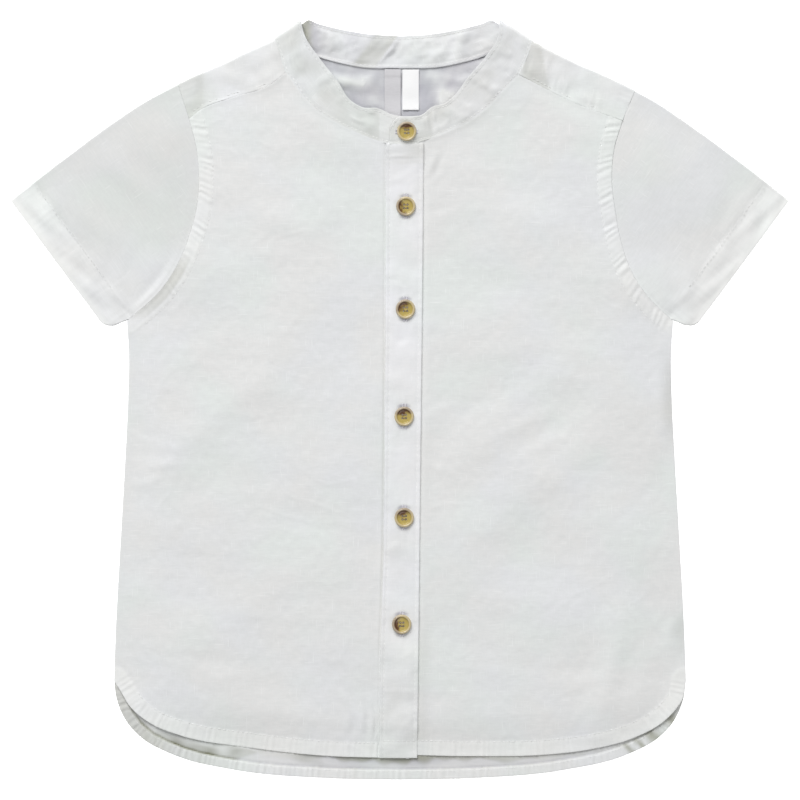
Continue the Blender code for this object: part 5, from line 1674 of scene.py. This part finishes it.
def makeTape(name, light, shade, rough):
    # woven polyester tape, bare: fine ribs across it and a soft sheen along them
    material, tree, shader = newMaterial(name)
    grain = addNode(tree, "ShaderNodeUVMap", uv_map="grain").outputs["UV"]
    place = addNode(tree, "ShaderNodeMapping", {"Vector": grain, "Scale": (0.25, 1.7, 1)})
    noise = addNode(tree, "ShaderNodeTexNoise", {"Vector": place.outputs[0], "Scale": 1.0, "Detail": 2.0})
    colour = addNode(tree, "ShaderNodeMix", {
        "Factor": noise.outputs["Fac"], 6: linear(light), 7: linear(shade),
    }, data_type="RGBA")
    bump = addNode(tree, "ShaderNodeBump", {
        "Height": noise.outputs["Fac"], "Strength": 0.5, "Distance": 0.00006,
    })
    tree.links.new(colour.outputs[2], shader.inputs["Base Color"])
    tree.links.new(bump.outputs[0], shader.inputs["Normal"])
    shader.inputs["Roughness"].default_value = rough
    return material


satinTape = makeTape("greySatinTape", "#DAD9DC", "#CBCACD", 0.38)
labelTape = makeTape("whiteWovenTape", "#F8F8F8", "#F1F1F2", 0.6)


def makeLabel(name, material):
    x0, x1, y0, y1 = labels[name]
    columns, rows = np.linspace(x0, x1, 15), np.linspace(y0, y1, 40)
    x, y = np.meshgrid(columns, rows)
    curl = 0.25 * hump(y - y0, 3.5) + 0.10 * swell(x, y, 15, 80)
    z = tape["middle"] + curl
    if name == "neck_label":
        # a flat loop, folded over where it leaves the seam
        z = z + 0.35 * rise(y, 177.0, 178.6) + 1.1 * rise(y, 165.0, 177.0)
    points = np.stack([x, y, z], 2).reshape(-1, 3)
    every, made, _ = wall(points, gridFaces(len(rows) - 1, len(columns) - 1), -tape["half"], tape["half"])
    obj = addObject(name + "_tape", every, made, every[:, :2], material)
    return finishPiece(obj, name)


makeLabel("neck_label", satinTape)
makeLabel("size_label", labelTape)

button = {
    "radius": 5.35, "edge": 2.4, "middle": 1.5, "holeRadius": 0.62, "holesRadius": 1.35, "sides": 48,
    # shares of the radius and of the edge's height, from below outwards, up and in to the dish
    "outside": (
        (0.60, 0.0), (0.72, 0.02), (0.88, 0.16), (0.96, 0.36), (1.0, 0.62), (0.985, 0.78), (0.95, 0.92),
        (0.90, 0.99), (0.85, 1.0), (0.80, 0.97), (0.76, 0.90), (0.72, 0.80), (0.69, 0.72), (0.66, 0.66),
    ),
    "turns": (90, 195, 130, 95, 100, 180),  # degrees: where each one's dark patch lies, all towards the upper left: the horn's brown with painted shade in the dish
    "rim": "#D8CAB0", "amber": "#C6AF68", "olive": "#A6954A", "dark": "#40220F", "brown": "#6E4722",
    "sunk": 0.85,  # into the cloth that gives way under it
    "slit": 13.4,  # of the buttonhole
    "thread": "#A2917A",
    "holeThread": "#E6E4EA",
}


def makeHorn():
    # polished horn-look resin: amber to olive, with a dark brown patch that is partly painted shade in the
    # dish, glossy and a little clear
    material, tree, shader = newMaterial("polishedHornResin")
    place = addNode(tree, "ShaderNodeUVMap", uv_map="grain").outputs["UV"]
    split = addNode(tree, "ShaderNodeSeparateXYZ", {0: place})
    inSpace = addNode(tree, "ShaderNodeTexCoord").outputs["Object"]
    noise = addNode(tree, "ShaderNodeTexNoise", {
        "Vector": inSpace, "Scale": 260.0, "Detail": 4.0, "Distortion": 0.6,
    })
    fineNoise = addNode(tree, "ShaderNodeTexNoise", {"Vector": inSpace, "Scale": 900.0, "Detail": 3.0})
    wander = addNode(tree, "ShaderNodeMath", {
        0: noise.outputs["Fac"], 1: 1.5, 2: split.outputs["Y"],
    }, operation="MULTIPLY_ADD")
    patch = addNode(tree, "ShaderNodeMapRange", {
        "Value": wander.outputs[0], "From Min": 0.85, "From Max": 1.25,
    })
    body = addNode(tree, "ShaderNodeMix", {
        "Factor": fineNoise.outputs["Fac"], 6: linear(button["olive"]), 7: linear(button["amber"]),
    }, data_type="RGBA")
    dark = addNode(tree, "ShaderNodeMix", {
        "Factor": fineNoise.outputs["Fac"], 6: linear(button["dark"]), 7: linear(button["brown"]),
    }, data_type="RGBA")
    mottledAndShaded = addNode(tree, "ShaderNodeMix", {
        "Factor": patch.outputs[0], 6: body.outputs[2], 7: dark.outputs[2],
    }, data_type="RGBA")
    flat = addNode(tree, "ShaderNodeCombineXYZ", {"X": split.outputs["X"], "Y": split.outputs["Y"]})
    radius = addNode(tree, "ShaderNodeVectorMath", {0: flat.outputs[0]}, operation="LENGTH")
    rim = addNode(tree, "ShaderNodeMapRange", {
        "Value": radius.outputs["Value"], "From Min": 0.70, "From Max": 0.80, "To Max": 0.56,
    })
    colour = addNode(tree, "ShaderNodeMix", {
        "Factor": rim.outputs[0], 6: mottledAndShaded.outputs[2], 7: linear(button["rim"]),
    }, data_type="RGBA")
    tree.links.new(colour.outputs[2], shader.inputs["Base Color"])
    shader.inputs["Roughness"].default_value = 0.28
    shader.inputs["IOR"].default_value = 1.54
    shader.inputs["Coat Weight"].default_value = 0.25
    shader.inputs["Coat Roughness"].default_value = 0.15
    return material


horn = makeHorn()


def makeButton(number):
    # turned from a profile, then drilled: the dish is filled between its edge and the four holes
    cx, cy = buttonPlaces[number]
    r, edge, middle = button["radius"], button["edge"], button["middle"]
    collarTop = cloth["collarZ"] + collar["overlap"] + collar["tiltFront"] + collar["half"]
    seat = float(upperZ(cx, cy)) + placket["onFront"] + cloth["wall"] / 2
    base = (collarTop if number == 0 else seat) - button["sunk"]
    outside = (*button["outside"], (0.62, middle / edge))
    sides = button["sides"]
    angles = np.linspace(0, 2 * math.pi, sides, endpoint=False)
    circle = np.column_stack([np.cos(angles), np.sin(angles)])
    points, faces, rings = [], [], []
    for share, height in outside:
        rings.append(len(points))
        points += [(*(share * r * p), height * edge) for p in circle]
    for low, high in zip(rings, rings[1:]):
        for k in range(sides):
            j = (k + 1) % sides
            faces.append((low + k, low + j, high + j, high + k))
    holes = []
    for k in range(4):
        turn = math.pi / 4 + k * math.pi / 2
        centre = button["holesRadius"] * np.array([math.cos(turn), math.sin(turn)])
        holes.append(centre + button["holeRadius"] * circle[::4])
    for first, z, up in ((rings[0], 0.0, False), (rings[-1], middle, True)):
        ring = np.array(points)[first : first + sides, :2]
        places, loops, edges = [*ring], [np.arange(sides)], []
        for hole in holes:
            loops.append(np.arange(len(places), len(places) + len(hole)))
            places += [*hole]
        for loop in loops:
            edges += list(zip(loop.tolist(), np.roll(loop, -1).tolist()))
        found = delaunay_2d_cdt([tuple(p) for p in places], edges, [], 0, 1e-7)
        start = len(points)
        points += [(*p, z) for p in places[sides:]]
        index = [first + k for k in range(sides)] + [start + k for k in range(len(places) - sides)]
        for a, b, c in found[2]:
            middlePlace = (np.array(places[a]) + places[b] + places[c]) / 3
            if any(inside(hole, middlePlace[None])[0] for hole in holes):
                continue
            turned = np.cross(np.array(places[b]) - places[a], np.array(places[c]) - places[a]) > 0
            face = (a, b, c) if turned == up else (a, c, b)
            faces.append(tuple(index[i] for i in face))
        rings.append(start)
    low, high = rings[-2], rings[-1]
    for k in range(4):
        count = len(holes[0])
        for i in range(count):
            j = (i + 1) % count
            a, b = k * count + i, k * count + j
            faces.append((low + b, low + a, high + a, high + b))
    points = np.array(points)
    turn = math.radians(90 - button["turns"][number])
    cos, sin = math.cos(turn), math.sin(turn)
    local = points[:, :2] / r @ np.array([[cos, sin], [-sin, cos]])
    points = points + (cx, cy, base)
    obj = addObject(f"button_{number + 1}_horn", points, faces, local, horn, weighed=False)
    obj.data.set_sharp_from_angle(angle=math.radians(50))
    return finishPiece(obj, f"button_{number + 1}")


buttonThread = makeThread("fawnCottonThread", button["thread"], "#8C7B62")
holeThread = makeThread("paleLilacCottonThread", button["holeThread"], "#CFCCD6")


def sewButton(number):
    # its thread through the four holes, and the worked buttonhole that it passes through
    cx, cy = buttonPlaces[number]
    seat = max(v.co.z for v in pieces[f"button_{number + 1}"].data.vertices) / mm
    z = seat - button["edge"] + button["middle"] + 0.1
    reach = button["holesRadius"] * math.cos(math.pi / 4) + 0.2
    paths = [
        np.array([(cx + way * reach, cy + k * reach * 0.8, z) for way in (-1, 1)])
        for k in (-1, 1)
    ]
    node = "collar_outer" if number == 0 else "placket"
    sewn(node, paths, 0.5, 0.9, 0.5, 0.0, buttonThread, f"button_{number + 1}_thread")
    half = button["slit"] / 2 - (0.6 if number == 0 else 0)
    along = np.linspace(-half, half, 15)
    bars = []
    for k in (-1, 1):
        side = np.full(len(along), k * 0.75)
        x, y = (cx + along, cy + side) if number == 0 else (cx + side, cy + along)
        if number == 0:
            height = np.full(len(x), seat - button["edge"] + button["sunk"])
        else:
            height = placketTop(x, y, np.full(len(x), 6.0))
        bars.append(np.column_stack([x, y, height - 0.02]))
    sewn(node, bars, 0.42, 1.3, 0.45, math.pi / 2, holeThread, f"buttonhole_{number + 1}")


for number in range(len(buttonPlaces)):
    makeButton(number)
    sewButton(number)

stage = {
    "above": 2000.0,  # mm, the camera's height
    "wide": 440.0,  # mm, what the picture takes in at the next height
    "levelOfFit": 2.0,
    "floorReach": 3,  # m
    "floorZ": -0.0004,
    "glow": 0.8,  # of the floor
    "sky": 0.30,
}
# place, size, power; in metres
lamps = {
    "windowLight": ((-1.1, 3.0, 2.6), 2.8, 160.0),
    "fillLight": ((0.9, -1.5, 2.8), 2.0, 20.0),
}


def makeStage():
    mesh = bpy.data.meshes.new("floor")
    reach, z = stage["floorReach"], stage["floorZ"]
    corners = [(x, y, z) for x, y in ((-reach, -reach), (reach, -reach), (reach, reach), (-reach, reach))]
    mesh.from_pydata(corners, [], [(0, 1, 2, 3)])
    floor = bpy.data.objects.new("floor", mesh)
    bpy.context.collection.objects.link(floor)
    material, _, shader = newMaterial("whitePaperFloor")
    shader.inputs["Base Color"].default_value = linear("#FAFAFA")
    shader.inputs["Roughness"].default_value = 0.9
    shader.inputs["Emission Color"].default_value = (1, 1, 1, 1)
    shader.inputs["Emission Strength"].default_value = stage["glow"]
    mesh.materials.append(material)
    world = bpy.data.worlds.new("studio")
    world.use_nodes = True
    world.node_tree.nodes["Background"].inputs["Color"].default_value = (1, 1, 1, 1)
    world.node_tree.nodes["Background"].inputs["Strength"].default_value = stage["sky"]
    bpy.context.scene.world = world
    for name, (place, size, power) in lamps.items():
        light = bpy.data.lights.new(name, "AREA")
        light.shape = "DISK"
        light.size = size
        light.energy = power
        lamp = bpy.data.objects.new(name, light)
        lamp.location = place
        x, y, z = -np.array(place)
        lamp.rotation_euler = (math.atan2(math.hypot(x, y), -z), 0, math.atan2(-x, y))
        bpy.context.collection.objects.link(lamp)
    camera = bpy.data.cameras.new("camera")
    camera.sensor_width = 36
    distance = (stage["above"] - stage["levelOfFit"]) * mm
    camera.lens = camera.sensor_width * distance / (stage["wide"] * mm)
    camera.clip_end = 10
    seen = bpy.data.objects.new("camera", camera)
    seen.location = (0, 0, stage["above"] * mm)
    bpy.context.collection.objects.link(seen)
    bpy.context.scene.camera = seen
    bpy.context.scene.view_settings.view_transform = "Standard"


makeStage()
print("stage set")
